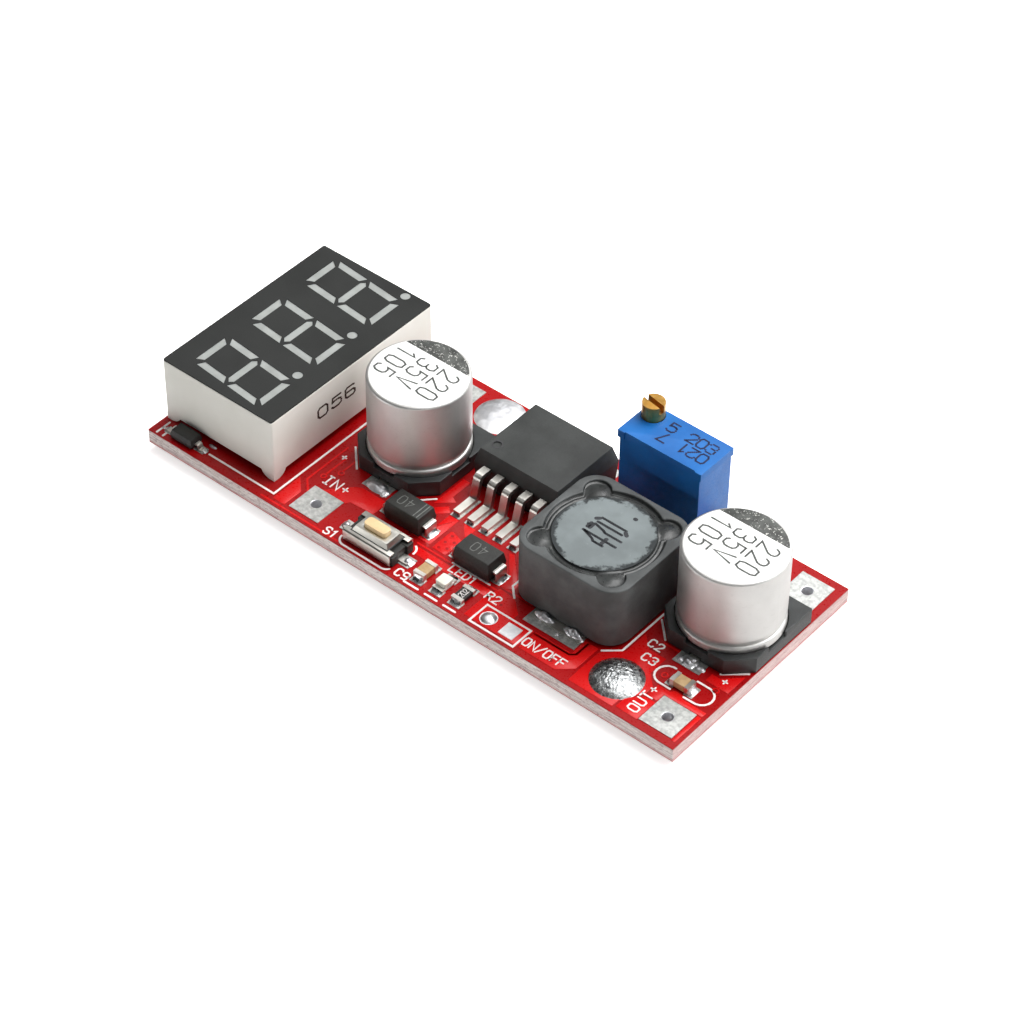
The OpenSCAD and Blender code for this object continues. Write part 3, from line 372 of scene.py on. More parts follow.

# %% [markdown]
# ### The red board
#
# Under the red resist lie copper areas, which make the red brighter, and bare glass fibre, which
# makes it darker. The copper is real relief here, cut from thin sheets further down, so the board
# itself only needs the darker red. Its sawn edges show the glass fibre: pale, with long level
# streaks, and pink where the resist shines through. The side faces are found by their normal, and the face
# that looks right gets painted shade.

# %% Board finishes


def sawn_edge(sheet, low, high):
    """A mask of the board's sides, and their colour and relief. low and high are their heights."""
    face = sheet.put("ShaderNodeSeparateXYZ", {0: sheet.put("ShaderNodeTexCoord").outputs["Normal"]})
    up = sheet.larger(face.outputs[2], 0.0)
    down = sheet.larger(sheet.times(face.outputs[2], -1.0), 0.0)
    is_side = sheet.span(sheet.larger(up, down), 0.3, 0.7, 1.0, 0.0)
    height = sheet.put("ShaderNodeSeparateXYZ", {0: sheet.place()}).outputs[2]
    fibres = sheet.noise(1.0, 3.0, 0.6, sheet.stretched((420.0, 420.0, 9500.0)))
    chips = sheet.noise(1.0, 2.0, 0.6, sheet.stretched((2600.0, 2600.0, 8200.0)))
    pale = sheet.mix(sheet.span(fibres, 0.38, 0.6), (204, 186, 184), (236, 226, 222))
    pale = sheet.mix(sheet.span(chips, 0.58, 0.68, 0.0, 0.6), pale, (140, 108, 106))
    pale = sheet.mix(sheet.span(chips, 0.42, 0.32, 0.0, 0.7), pale, (246, 240, 236))

    # pink along the lower edge, the resist's red along the upper one, and painted shade on the face that
    # looks right
    thick = high - low
    near_low = sheet.span(height, low, low + 0.3 * thick, 0.7, 0.0)
    near_top = sheet.span(height, high - 0.1 * thick, high - 0.04 * thick, 0.0, 1.0)
    right_face_painted_shade = sheet.span(face.outputs[0], 0.5, 0.9, 0.0, 0.5)
    pale = sheet.mix(near_low, pale, (206, 112, 110))
    pale = sheet.mix(near_top, pale, (150, 14, 16))
    pale = sheet.mix(right_face_painted_shade, pale, (176, 132, 130))
    return is_side, pale, sheet.times(sheet.sum(fibres, chips), 3.0)


def resist(name, dark, light, side=None):
    """Glossy resist between two reds. side is the height range of the board's pale edges."""
    sheet, shader = material(name, Specular_IOR_Level=0.22, Coat_Weight=0.1, Coat_Roughness=0.12)
    grain = sheet.group("Grain", Grains_per_mm=5.0, Blotches_per_mm=0.16)
    colour = sheet.mix(grain.outputs["Tone"], dark, light)
    weave = sheet.put("ShaderNodeTexWave", {
        "Vector": sheet.place(), "Scale": 620.0, "Distortion": 1.2,
        "Detail": 2.0, "Detail Scale": 2.0}, bands_direction="DIAGONAL").outputs[1]
    colour = sheet.mix(sheet.times(weave, 0.05), colour, light)
    relief = sheet.sum(sheet.times(grain.outputs["Tone"], 0.5), sheet.times(weave, 0.2))
    rough = sheet.span(grain.outputs["Grain"], 0.3, 0.7, 0.26, 0.36)
    if side:
        is_side, pale, edge_relief = sawn_edge(sheet, *side)
        colour = sheet.mix(is_side, colour, pale)
        rough = sheet.sum(rough, sheet.times(is_side, 0.4))
        relief = sheet.sum(relief, sheet.times(edge_relief, is_side))
        feed(sheet, shader, Coat_Weight=sheet.span(is_side, 0.0, 1.0, 0.1, 0.0))
    feed(sheet, shader, Base_Color=colour, Roughness=rough, Normal=bump(sheet, relief, 0.5, 0.012))


resist("board", (150, 3, 7), (168, 6, 10), side=(board_low.z, board_high.z))
resist("copper under resist", (204, 12, 15), (216, 20, 20))
print("board finishes ready")

# %% [markdown]
# ### Print, lamps and resin
#
# The board's white print, the cans' dark print and the packages' grey marks are inks: thin, and
# a little uneven in density. The display's bars are milky and slightly see-through, so light goes into them a
# little way, which subsurface scattering gives. The small lamp's lens is the same.

# %% Inks and milky plastics


def ink(name, dark, light, rough=0.55, shine=0.4):
    """A thin printed ink, also used for the dark lines of painted shade."""
    sheet, shader = material(name, Specular_IOR_Level=shine)
    grain = sheet.group("Grain", Grains_per_mm=16.0, Blotches_per_mm=2.0)
    colour = sheet.mix(grain.outputs["Tone"], dark, light)
    feed(sheet, shader, Base_Color=colour,
         Roughness=sheet.span(grain.outputs["Grain"], 0.3, 0.7, rough - 0.08, rough + 0.08),
         Normal=bump(sheet, grain.outputs["Height"], 0.4, 0.004))


def milky(name, dark, light, depth, rough=0.35):
    """A milky plastic. depth is how far light goes into it, in millimetres."""
    sheet, shader = material(name, Subsurface_Weight=0.4, Subsurface_Scale=depth * MM,
                             Subsurface_Radius=(1.0, 0.9, 0.8))
    grain = sheet.group("Grain", Grains_per_mm=8.0, Blotches_per_mm=0.6)
    colour = sheet.mix(grain.outputs["Tone"], dark, light)
    feed(sheet, shader, Base_Color=colour,
         Roughness=sheet.span(grain.outputs["Grain"], 0.3, 0.7, rough - 0.06, rough + 0.06),
         Normal=bump(sheet, grain.outputs["Height"], 0.4, 0.004))


ink("white ink", (236, 228, 226), (250, 246, 244))
# a dark finish for the lines of painted shade in the dimple and the crease
ink("painted shade ink", (38, 38, 40), (58, 58, 60))
ink("grey ink", (96, 98, 94), (116, 118, 114))
ink("coil ink", (34, 36, 40), (50, 52, 56))
ink("navy ink", (4, 18, 56), (10, 30, 76))
ink("brown ink", (46, 34, 28), (66, 52, 44))
ink("can ink", (58, 60, 58), (84, 86, 84))
ink("can film", (238, 239, 236), (246, 247, 244), 0.75, 0.15)
milky("display bar", (152, 155, 152), (164, 167, 164), 0.5)
milky("lamp lens", (226, 226, 212), (240, 240, 230), 0.3, 0.25)

# the black segment of a capacitor's print is sprinkled with bare specks
sheet, shader = material("can segment", Roughness=0.5)
specks = sheet.noise(4200.0, 2.0, 0.7)
grain = sheet.group("Grain", Grains_per_mm=6.0, Blotches_per_mm=1.0)
black = sheet.mix(grain.outputs["Tone"], (48, 49, 47), (84, 86, 83))
feed(sheet, shader, Base_Color=sheet.mix(sheet.span(specks, 0.6, 0.66), black, (206, 206, 200)))

# %% The drum of the coil: pale ferrite, with dark dirt creeping in from its rim
DIRT_FROM, DIRT_FULL, DIRT_RAGGED = 5.35, 5.75, 2.2
sheet, shader = material("drum ferrite", Specular_IOR_Level=0.22)
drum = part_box("inductor_drum")
middle = (drum[0] + drum[1]) / 2
flat = sheet.vector("MULTIPLY", sheet.vector("SUBTRACT", sheet.place(), middle), (1.0, 1.0, 0.0))
far = sheet.put("ShaderNodeVectorMath", {0: flat}, operation="LENGTH").outputs["Value"]
ragged = sheet.times(sheet.noise(900.0, 4.0, 0.65), DIRT_RAGGED * MM)
dirt = sheet.span(sheet.sum(far, ragged), DIRT_FROM * MM, DIRT_FULL * MM)
grain = sheet.group("Grain", Grains_per_mm=6.0, Blotches_per_mm=0.3)
pale = sheet.mix(grain.outputs["Tone"], (112, 119, 120), (127, 135, 136))
wear = sheet.span(sheet.noise(1500.0, 3.0, 0.7), 0.66, 0.76, 0.0, 0.25)
pale = sheet.mix(wear, pale, (166, 172, 170))
feed(sheet, shader, Base_Color=sheet.mix(dirt, pale, (48, 52, 53)),
     Roughness=sheet.span(grain.outputs["Grain"], 0.3, 0.7, 0.42, 0.6),
     Normal=bump(sheet, grain.outputs["Height"], 0.5, 0.012))
print("finishes:", len(MATERIALS))

# %% [markdown]
# ## Dressing the solids
#
# Most solids keep their shape and only get a finish. A moulded or pressed piece also needs soft
# edges, because no real edge is perfectly sharp and the thin highlight along it is what the eye
# reads. `soften` copies such a solid, melts its flat faces back together, bevels its sharp edges
# and lets the copy stand for the solid.

# %% Dressing helpers
SOFT_STEPS = 3
SHARP_FROM = math.radians(30)
made = []


def dress(finish, *nodes):
    """Gives solids a finish."""
    for name in nodes:
        mesh = NODES[name].data
        mesh.materials.clear()
        mesh.materials.append(MATERIALS[finish])
        mesh.shade_smooth()
        mesh.set_sharp_from_angle(angle=math.radians(32))


def add_piece(name, mesh, finish, body="board"):
    """Puts a mesh into the scene as a piece that rides on a body."""
    piece = bpy.data.objects.new(name, mesh)
    bpy.context.scene.collection.objects.link(piece)
    mesh.materials.clear()
    mesh.materials.append(MATERIALS[finish])
    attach(piece, body)
    made.append(piece)
    return piece


def soften(node, finish, width, body="board"):
    """A copy of a solid with rounded edges, width in millimetres, which stands for the solid."""
    mesh = NODES[node].data.copy()
    bm = bmesh.new()
    bm.from_mesh(mesh)
    bmesh.ops.remove_doubles(bm, verts=bm.verts, dist=1e-6)
    bmesh.ops.dissolve_limit(bm, angle_limit=math.radians(0.5), verts=bm.verts, edges=bm.edges)
    sharp = [e for e in bm.edges if len(e.link_faces) == 2 and e.calc_face_angle(0.0) > SHARP_FROM]
    bmesh.ops.bevel(bm, geom=sharp, offset=width * MM, segments=SOFT_STEPS, profile=0.6,
                    affect="EDGES", clamp_overlap=True)
    bm.to_mesh(mesh)
    bm.free()
    mesh.shade_smooth()
    mesh.set_sharp_from_angle(angle=math.radians(40))
    piece = add_piece("soft_" + node, mesh, finish, body)
    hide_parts(node)
    return piece


print("dressing helpers ready")

# %% Finishes for the solids that keep their shape
dress("board", "board")
dress("pad tin", "terminal_pads", "smd_pads")
dress("pale solder", "enable_pads")
dress("solder", "joint_solder")
dress("lead tin", "display_pins", "controller_leads", "input_capacitor_leads", "output_capacitor_leads",
      "regulator_tab", "regulator_leads", "inductor_clips", "trimmer_pins", "switch_terminals",
      "input_diode_leads", "catch_diode_leads", "small_diode_leads",
      "filter_capacitor_ends", "output_chip_ends", "lamp_resistor_ends", "lamp_ends")
dress("can aluminium", "input_capacitor_can", "output_capacitor_can")
dress("display mask", "display_face")
dress("display bar", "display_segments")
dress("board", "display_back")
dress("package black", "controller_body")
dress("drum ferrite", "inductor_drum")
dress("winding copper", "inductor_winding")
dress("trimmer blue", "trimmer_base")
dress("screw brass", "trimmer_screw")
dress("white plastic", "trimmer_carriage", "trimmer_element", "lamp_base")
print("dressed solids:", len(NODES))

# %% Soft edges
soften("display_housing", "display shell", 0.12)
soften("input_capacitor_base", "black base", 0.1)
soften("output_capacitor_base", "black base", 0.1)
soften("regulator_body", "regulator black", 0.12)
soften("inductor_shield", "ferrite", 0.14)
soften("trimmer_housing", "trimmer blue", 0.1)
soften("switch_cover", "cover steel", 0.05)
soften("switch_base", "package black", 0.05)
soften("switch_button", "button cream", 0.14, body="button")
soften("input_diode_body", "package black", 0.1)
soften("catch_diode_body", "package black", 0.1)
soften("small_diode_body", "package black", 0.08)
soften("filter_capacitor_body", "chip tan", 0.06)
soften("output_chip_body", "chip tan", 0.06)
soften("lamp_resistor_body", "package black", 0.04)
soften("lamp_lens", "lamp lens", 0.1)
print("softened solids:", [p.name for p in made])

# %% [markdown]
# ## The disc under the button
#
# A domed disc springs the button back. When the button goes down, the disc gives way by the same
# distance. A copy of it, in cover steel, stands for the solid.

# %% The button's disc
disc_low, disc_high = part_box("switch_dome")
disc = add_piece("press_disc", NODES["switch_dome"].data.copy(), "cover steel")
disc.data.shade_smooth()
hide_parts("switch_dome")
height = disc_high[2] - disc_low[2]
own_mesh(disc)
print("disc height:", round(height / MM, 2), "mm")

# %% [markdown]
# ## Two ways to add small forms
#
# Thin layers such as copper and printed film are flat plates cut to an outline, with a slightly
# rounded top edge. Lumps and domes of solder are mounds: a fan of points round a middle, each
# raised by a height that depends on how far out it lies. Both are given in millimetres on the board.

# %% Plates and mounds


def plates(name, outlines, low, high, finish, edge):
    """Flat plates cut to outlines, from height low to high, with a rounded top edge."""
    bm = bmesh.new()
    for outline in outlines:
        face = bm.faces.new([bm.verts.new(at(x, y, low)) for x, y in outline])
        face.normal_update()
        if face.normal.z > 0:
            face.normal_flip()
        grown = bmesh.ops.extrude_face_region(bm, geom=[face], use_keep_orig=True)["geom"]
        raised = [g for g in grown if isinstance(g, bmesh.types.BMVert)]
        bmesh.ops.translate(bm, verts=raised, vec=(0, 0, (high - low) * MM))
    bmesh.ops.recalc_face_normals(bm, faces=bm.faces)
    top = board_high.z + high * MM - 1e-7
    rim = [e for e in bm.edges if all(v.co.z > top for v in e.verts)]
    bmesh.ops.bevel(bm, geom=rim, offset=edge * MM, segments=2, profile=0.5,
                    affect="EDGES", clamp_overlap=True)
    mesh = bpy.data.meshes.new(name)
    bm.to_mesh(mesh)
    bm.free()
    mesh.shade_smooth()
    mesh.set_sharp_from_angle(angle=math.radians(50))
    return add_piece(name, mesh, finish)


def ripple(x, y, size, seed):
    """Smooth noise between -1 and 1 at a place. size is the width of its bumps in millimetres."""
    return noise.noise(Vector((x / size, y / size, seed)))


def mound_points(middle, reach, rise, rings, spokes, z):
    """The points and faces of a mound, with a flat underside.

    reach(angle) is its radius, and rise(share, x, y) its height at a share of that radius.
    """
    verts = [at(*middle, z + rise(0.0, *middle))]
    turns = [2 * math.pi * k / spokes for k in range(spokes)]
    for i in range(1, rings + 1):
        share = i / rings
        for t in turns:
            x, y = around(*middle, reach(t) * share, t)
            verts.append(at(x, y, z + rise(share, x, y)))
    for t in turns:
        verts.append(at(*around(*middle, reach(t), t), z))
    faces = [(0, 1 + k, 1 + (k + 1) % spokes) for k in range(spokes)]
    for i in range(rings):
        for k in range(spokes):
            a, b = 1 + i * spokes + k, 1 + i * spokes + (k + 1) % spokes
            faces.append((a, a + spokes, b + spokes, b))
    low = 1 + rings * spokes
    faces.append(tuple(low + k for k in reversed(range(spokes))))
    return verts, faces


def face_outwards(mesh):
    """Turns every face of a closed mesh so that it looks outwards."""
    bm = bmesh.new()
    bm.from_mesh(mesh)
    bmesh.ops.recalc_face_normals(bm, faces=bm.faces)
    bm.to_mesh(mesh)
    bm.free()


def mesh_from(name, parts):
    """One mesh from several lists of points and faces."""
    verts, faces = [], []
    for some_verts, some_faces in parts:
        first = len(verts)
        verts += [tuple(v) for v in some_verts]
        faces += [tuple(first + i for i in face) for face in some_faces]
    mesh = bpy.data.meshes.new(name)
    mesh.from_pydata(verts, [], faces)
    face_outwards(mesh)
    mesh.shade_smooth()
    mesh.set_sharp_from_angle(angle=math.radians(60))
    return mesh


def uneven(t, waves, seed):
    """Smooth noise between -1 and 1 that runs round a mound, so that its outline isn't even."""
    return noise.noise(Vector((math.cos(t) * waves, math.sin(t) * waves, seed)))


def blob(middle, size, height, z, seed, lumps):
    """A lump of solder over an oval. size is its two half widths, lumps how uneven its top is."""
    def reach(t):
        oval = size[0] * size[1] / math.hypot(size[1] * math.cos(t), size[0] * math.sin(t))
        return oval * (1 + 0.14 * uneven(t, 1.3, seed))

    def rise(share, x, y):
        dome = max(0.0, 1 - share ** 2) ** 0.62
        return height * dome * (1 + lumps * ripple(x, y, 0.45, seed))

    return mound_points(middle, reach, rise, 10, 40, z)


print("plates and mounds ready")

# %% [markdown]
# ## White print
#
# The print on a board is drawn by a machine that lays ink in strokes of one width, with round
# ends, so its letters are made the same way here: each sign is a few strokes on a small grid, one
# high and 0.62 wide, and each stroke becomes a thin ribbon. The same strokes serve for the
# numbers on the capacitors, the coil, the trimmer and the display.

# %% Signs made of strokes
SIGN_W = 0.62
O_SHAPE = [(0, .2), (0, .8), (.12, 1), (.5, 1), (.62, .8), (.62, .2), (.5, 0), (.12, 0), (0, .2)]
SIGNS = {
    "0": [O_SHAPE],
    "O": [O_SHAPE],
    "1": [[(.1, .8), (.31, 1), (.31, 0)]],
    "2": [[(0, .78), (.08, .93), (.2, 1), (.42, 1), (.56, .93), (.62, .78), (.58, .6), (0, 0), (.62, 0)]],
    "3": [[(0, .85), (.12, 1), (.5, 1), (.62, .85), (.62, .65), (.48, .53), (.25, .53)],
          [(.48, .53), (.62, .4), (.62, .15), (.5, 0), (.12, 0), (0, .15)]],
    "4": [[(.48, 0), (.48, 1), (0, .3), (.62, .3)]],
    "5": [[(.58, 1), (.06, 1), (.03, .56), (.2, .65), (.42, .65), (.58, .55), (.62, .35),
           (.6, .15), (.45, 0), (.12, 0), (0, .12)]],
    "6": [[(.56, .95), (.48, 1), (.12, 1), (0, .85), (0, .15), (.12, 0), (.5, 0), (.62, .15),
           (.62, .4), (.5, .53), (.12, .53), (0, .42)]],
    "7": [[(0, 1), (.62, 1), (.2, 0)]],
    "9": [[(.62, .62), (.5, .45), (.12, .45), (0, .6), (0, .85), (.12, 1), (.5, 1), (.62, .85),
           (.62, .2), (.5, 0), (.12, 0)]],
    "C": [[(.62, .82), (.5, 1), (.15, 1), (0, .82), (0, .18), (.15, 0), (.5, 0), (.62, .18)]],
    "D": [[(0, 0), (0, 1), (.4, 1), (.62, .78), (.62, .22), (.4, 0), (0, 0)]],
    "E": [[(.6, 1), (0, 1), (0, 0), (.6, 0)], [(0, .52), (.48, .52)]],
    "F": [[(.6, 1), (0, 1), (0, 0)], [(0, .52), (.48, .52)]],
    "I": [[(.12, 1), (.5, 1)], [(.31, 1), (.31, 0)], [(.12, 0), (.5, 0)]],
    "L": [[(0, 1), (0, 0), (.58, 0)]],
    "N": [[(0, 0), (0, 1), (.62, 0), (.62, 1)]],
    "R": [[(0, 0), (0, 1), (.45, 1), (.62, .88), (.62, .65), (.45, .52), (0, .52)], [(.35, .52), (.62, 0)]],
    "S": [[(.6, .85), (.48, 1), (.14, 1), (0, .85), (0, .68), (.12, .55), (.5, .47), (.62, .33),
           (.62, .15), (.48, 0), (.12, 0), (0, .15)]],
    "T": [[(0, 1), (.62, 1)], [(.31, 1), (.31, 0)]],
    "U": [[(0, 1), (0, .18), (.12, 0), (.5, 0), (.62, .18), (.62, 1)]],
    "V": [[(0, 1), (.31, 0), (.62, 1)]],
    "+": [[(.05, .5), (.57, .5)], [(.31, .78), (.31, .22)]],
    "/": [[(0, -.05), (.6, 1.05)]],
}


def writing(text, start, heading, height, pitch, width=1.0):
    """The strokes of a line of text. heading is the angle that it reads along, in degrees."""
    along, up = axes(heading)
    strokes = []
    for i, sign in enumerate(text):
        foot = Vector(start) + along * (i * pitch)
        for stroke in SIGNS[sign]:
            strokes.append([foot + along * (x * height * width) + up * (y * height)
                            for x, y in stroke])
    return strokes


def centred(text, middle, heading, height, pitch, width):
    """The same, centred on a place."""
    along, up = axes(heading)
    length = (len(text) - 1) * pitch + SIGN_W * height * width
    start = Vector(middle) - along * (length / 2) - up * (height / 2)
    return writing(text, start, heading, height, pitch, width)


print("signs:", "".join(SIGNS))

# %% Ribbons
CAP_STEPS = 5


def ribbon(stroke, width):
    """The outlines that a stroke is made of: a quad for each stretch, and a cap at each open end."""
    points = [Vector(p) for p in stroke]
    closed = (points[0] - points[-1]).length < 1e-6
    if closed:
        points = points[:-1]
    n = len(points)
    sides = []
    for i, p in enumerate(points):
        before = points[i - 1] if (closed or i > 0) else p
        after = points[(i + 1) % n] if (closed or i < n - 1) else p
        a = (p - before).normalized() if (p - before).length > 1e-9 else (after - p).normalized()
        b = (after - p).normalized() if (after - p).length > 1e-9 else a
        middle = (a + b).normalized()
        reach = (width / 2) / max(0.45, middle.dot(a))
        side = Vector((-middle.y, middle.x)) * reach
        sides.append((p + side, p - side, a, b))
    pairs = list(zip(sides, sides[1:] + sides[:1] if closed else sides[1:]))
    quads = [[one[0], one[1], other[1], other[0]] for one, other in pairs]
    if closed:
        return quads
    quads.append([sides[-1][0]] + round_cap(points[-1], sides[-1][2], width) + [sides[-1][1]])
    quads.append([sides[0][1]] + round_cap(points[0], -sides[0][3], width) + [sides[0][0]])
    return quads


def round_cap(end, out, width):
    """Points round the end of a stroke, from its left side to its right."""
    left = Vector((-out.y, out.x))
    points = []
    for k in range(1, CAP_STEPS):
        t = math.pi * k / CAP_STEPS
        points.append(end + (left * math.cos(t) + out * math.sin(t)) * width / 2)
    return points


def printed(name, strokes, width, z, finish, thick=0.012, surface=None):
    """Strokes as a thin layer of ink. surface turns a place and a height into metres."""
    surface = surface or (lambda p, h: at(p[0], p[1], h))
    verts, faces = [], []
    for stroke in strokes:
        for outline in ribbon(stroke, width):
            first = len(verts)
            k = len(outline)
            for h in (z, z + thick):
                verts += [surface(p, h) for p in outline]
            faces.append([first + k + i for i in range(k)][::-1])
            faces.append([first + i for i in range(k)])
            for i in range(k):
                j = (i + 1) % k
                faces.append([first + i, first + k + i, first + k + j, first + j])
    mesh = bpy.data.meshes.new(name)
    mesh.from_pydata([tuple(v) for v in verts], [], faces)
    face_outwards(mesh)
    return add_piece(name, mesh, finish)


def dot(x, y):
    """A stroke so short that it prints as a round dot."""
    return [(x - 0.01, y), (x + 0.01, y)]


def dotted(strokes, step):
    """Strokes turned into rows of dots, step apart, with no dot printed twice."""
    dots = []
    for stroke in strokes:
        for (x0, y0), (x1, y1) in zip(stroke, stroke[1:]):
            count = max(1, round(math.hypot(x1 - x0, y1 - y0) / step))
            dots += [(x0 + (x1 - x0) * k / count, y0 + (y1 - y0) * k / count) for k in range(count)]
        dots.append((stroke[-1][0], stroke[-1][1]))
    return [dot(x, y) for x, y in sorted(set((round(x, 2), round(y, 2)) for x, y in dots))]


print("ribbons ready")

# %% Letters on the board
PRINT_W, PRINT_T = 0.155, 0.045
letters = (
    writing("IN+", (17.5, 5.3), 0, 1.15, 1.05)
    + writing("S1", (22.1, 0.35), 0, 0.9, 0.75)
    + writing("ON/OFF", (45.2, 1.25), 0, 0.95, 0.8)
    + writing("R2", (38.95, 3.5), 0, 0.95, 0.85)
    + writing("LED1", (34.2, 4.05), 0, 0.9, 0.78)
    + writing("C9", (30.7, 0.5), 0, 0.9, 0.8)
    + writing("C2", (53.8, 8.4), 0, 0.9, 0.85)
    + writing("C3", (54.4, 6.7), 0, 0.9, 0.85)
    + writing("OUT+", (58.2, 1.3), 90, 1.05, 0.95)
    + writing("+", (16.6, 8.7), 0, 0.9, 1)
    + writing("+", (61.6, 8.8), 0, 0.9, 1)
)
printed("board_letters", letters, PRINT_W, 0.0, "white ink", PRINT_T)
print("letters:", len(letters), "strokes")

# %% Lines on the board
LINE_W = 0.2


def arc(x, y, r, start, end, steps=8):
    """Points along an arc, angles in degrees."""
    return [around(x, y, r, math.radians(start + (end - start) * i / steps)) for i in range(steps + 1)]


display_high = extent("display_housing")[1]
lines = [
    [(display_high.x + 1.0, display_high.y + 0.4), (display_high.x + 1.0, 1.2), (6.9, 1.2)],
    [(0.9, 0.25), (0.9, 2.0)], [(1.7, 0.25), (1.7, 2.0)], [(0.9, 1.1), (1.7, 1.1)],
    [(39.8, 0.45), (44.9, 0.45), (44.9, 3.0), (39.8, 3.0), (39.8, 0.45)],
    [(23.8, 1.2)] + arc(24.7, 1.2, 0.9, 180, 270) + arc(29.3, 1.2, 0.9, 270, 325),
    [(30.4, 3.6)] + arc(29.5, 3.7, 0.9, 0, 60, 5),
    [(33.9, 5.05), (38.3, 5.05)],
    [(40.0, 7.5), (40.0, 6.3), (41.1, 5.2)],
    [(51.2, 5.2), (52.6, 6.4), (52.6, 13.5)],
    [(57.6, 7.75)] + arc(57.5, 6.6, 1.15, 100, 260) + [(58.7, 5.45)],
    [(60.0, 7.75)] + arc(61.3, 6.6, 1.15, 80, -80) + [(60.2, 5.45)],
    [(32.1, 0.38), (33.75, 0.38)], [(34.6, 0.38), (36.0, 0.38)], [(36.8, 0.38), (38.2, 0.38)],
    [(16.7, 10.9), (18.8, 8.75)], [(26.0, 9.2), (27.2, 10.5)],
    [(52.9, 11.7), (54.7, 9.9)], [(61.0, 9.75), (62.9, 11.4)],
]
printed("board_lines", lines, LINE_W, 0.0, "white ink", PRINT_T)
print("lines:", len(lines))

# %% [markdown]
# ## Copper under the resist
#
# The copper areas and tracks of the board stand a few hundredths of a millimetre above the glass
# fibre, and the resist over them follows that step. The step catches light, and the red over
# copper is brighter, so the areas are cut as thin plates and the tracks as ribbons.

# %% Copper areas and tracks
COPPER_T = 0.03
copper_areas = [
    [(18.3, 4.55), (20.3, 6.75), (20.95, 7.15), (23.75, 7.15), (24.1, 6.7), (24.1, 5.1), (21.4, 4.95),
     (21.15, 4.55)],
    [(15.5, 0.75), (16.95, 0.75), (16.95, 3.05), (15.5, 4.5)],
    [(27.35, 14.2), (28.2, 14.2), (28.2, 11.7), (28.9, 11.3), (27.35, 9.9)],
    [(27.8, 9.55), (28.75, 10.5), (29.4, 9.9), (28.4, 8.85)],
    [(29.55, 9.65), (30.7, 9.65), (30.7, 5.5), (28.3, 5.5), (28.3, 5.3), (29.55, 7.95)],
    [(31.2, 9.7), (32.7, 9.7), (32.7, 8.1)],
    [(31.1, 8.05), (31.3, 8.15), (32.7, 7.75), (32.7, 5.35), (31.1, 5.35)],
    [(29.75, 3.7), (29.75, 4.6), (38.7, 4.6), (39.3, 4.0), (39.3, 3.65), (32.3, 3.65)],
    [(37.0, 9.35), (37.5, 9.5), (40.4, 6.6), (40.4, 5.95), (38.75, 5.35), (38.75, 7.3)],
    [(38.9, 0.75), (38.9, 3.4), (39.35, 5.3), (41.2, 5.2), (42.7, 3.85), (42.7, 3.2), (45.1, 3.2),
     (45.1, 0.75)],
    [(45.3, 0.75), (49.5, 0.75), (50.85, 2.0), (50.85, 5.2), (49.4, 5.2), (49.4, 3.2), (45.3, 3.2)],
    [(51.15, 0.55), (51.15, 4.9), (52.9, 6.6), (52.9, 9.4), (54.3, 8.1), (56.2, 8.1), (56.2, 5.9),
     (57.4, 4.7), (57.4, 3.5), (56.1, 2.2), (56.1, 0.55)],
    [(56.35, 0.75), (56.35, 2.1), (57.6, 3.35), (58.72, 3.35), (58.72, 0.75)],
    [(57.6, 3.6), (57.6, 5.2), (58.9, 5.2), (59.2, 5.6), (60.0, 5.6), (60.3, 5.2), (62.9, 5.2),
     (62.9, 4.6), (58.72, 4.6), (58.72, 3.6)],
    [(62.5, 0.75), (62.5, 4.5), (62.9, 4.5), (62.9, 0.75)],
    [(60.4, 8.3), (62.9, 8.3), (62.9, 10.9), (61.3, 9.3), (60.4, 9.3)],
    [(1.0, 2.6), (0.6, 2.6), (0.6, 25.2), (1.0, 25.2)],
]
plates("copper_areas", copper_areas, 0.0, COPPER_T, "copper under resist", edge=0.02)
tracks = [
    [(16.2, 10.4), (16.2, 4.7), (17.35, 3.55)],
    [(17.1, 9.2), (17.1, 6.4)],
    [(18.05, 9.4), (18.05, 7.75)],
    [(29.75, 4.95), (39.2, 4.95)],
    [(39.5, 5.6), (42.9, 5.6)],
    [(49.8, 5.0), (49.8, 3.35), (49.3, 2.95), (45.4, 2.95)],
    [(54.9, 9.55), (56.6, 9.55)],
    [(24.0, 0.35), (14.4, 0.35)],
]
TRACK_W = 0.2
printed("copper_tracks", tracks, TRACK_W, 0.0, "copper under resist", thick=COPPER_T)
print("copper areas:", len(copper_areas), "tracks:", len(tracks))

# %% Plated holes between the layers


def circle(x, y, r, steps):
    """A closed round stroke."""
    return [around(x, y, r, 2 * math.pi * i / steps) for i in range(steps)] + [(x + r, y)]


VIAS = [(17.1, 6.0), (18.1, 7.35), (40.75, 3.75), (57.3, 6.5), (31.6, 7.65), (31.6, 6.65),
        (31.6, 5.75), (32.3, 7.1), (32.3, 6.1), (61.9, 7.9), (48.6, 1.3), (15.9, 20.9), (25.6, 21.9)]
VIA_R, VIA_RING_W, VIA_DIMPLE_W = 0.27, 0.14, 0.3
rings = [circle(x, y, VIA_R, 20) for x, y in VIAS]
printed("via_rings", rings, VIA_RING_W, 0.0, "copper under resist", thick=0.045)
printed("via_dimples", [dot(x, y) for x, y in VIAS], VIA_DIMPLE_W, 0.0, "board", thick=0.035)
print("plated holes:", len(VIAS))

# %% [markdown]
# ## Prints on the parts
#
# A capacitor's top carries a white film with a speckled black segment that marks the negative
# side, and its value in thin grey strokes. The coil, the trimmer, the resistor and the display
# are marked by a needle or an ink jet, so their signs are rows of dots or stiff straight lines.
# All of them carry plain numbers only.

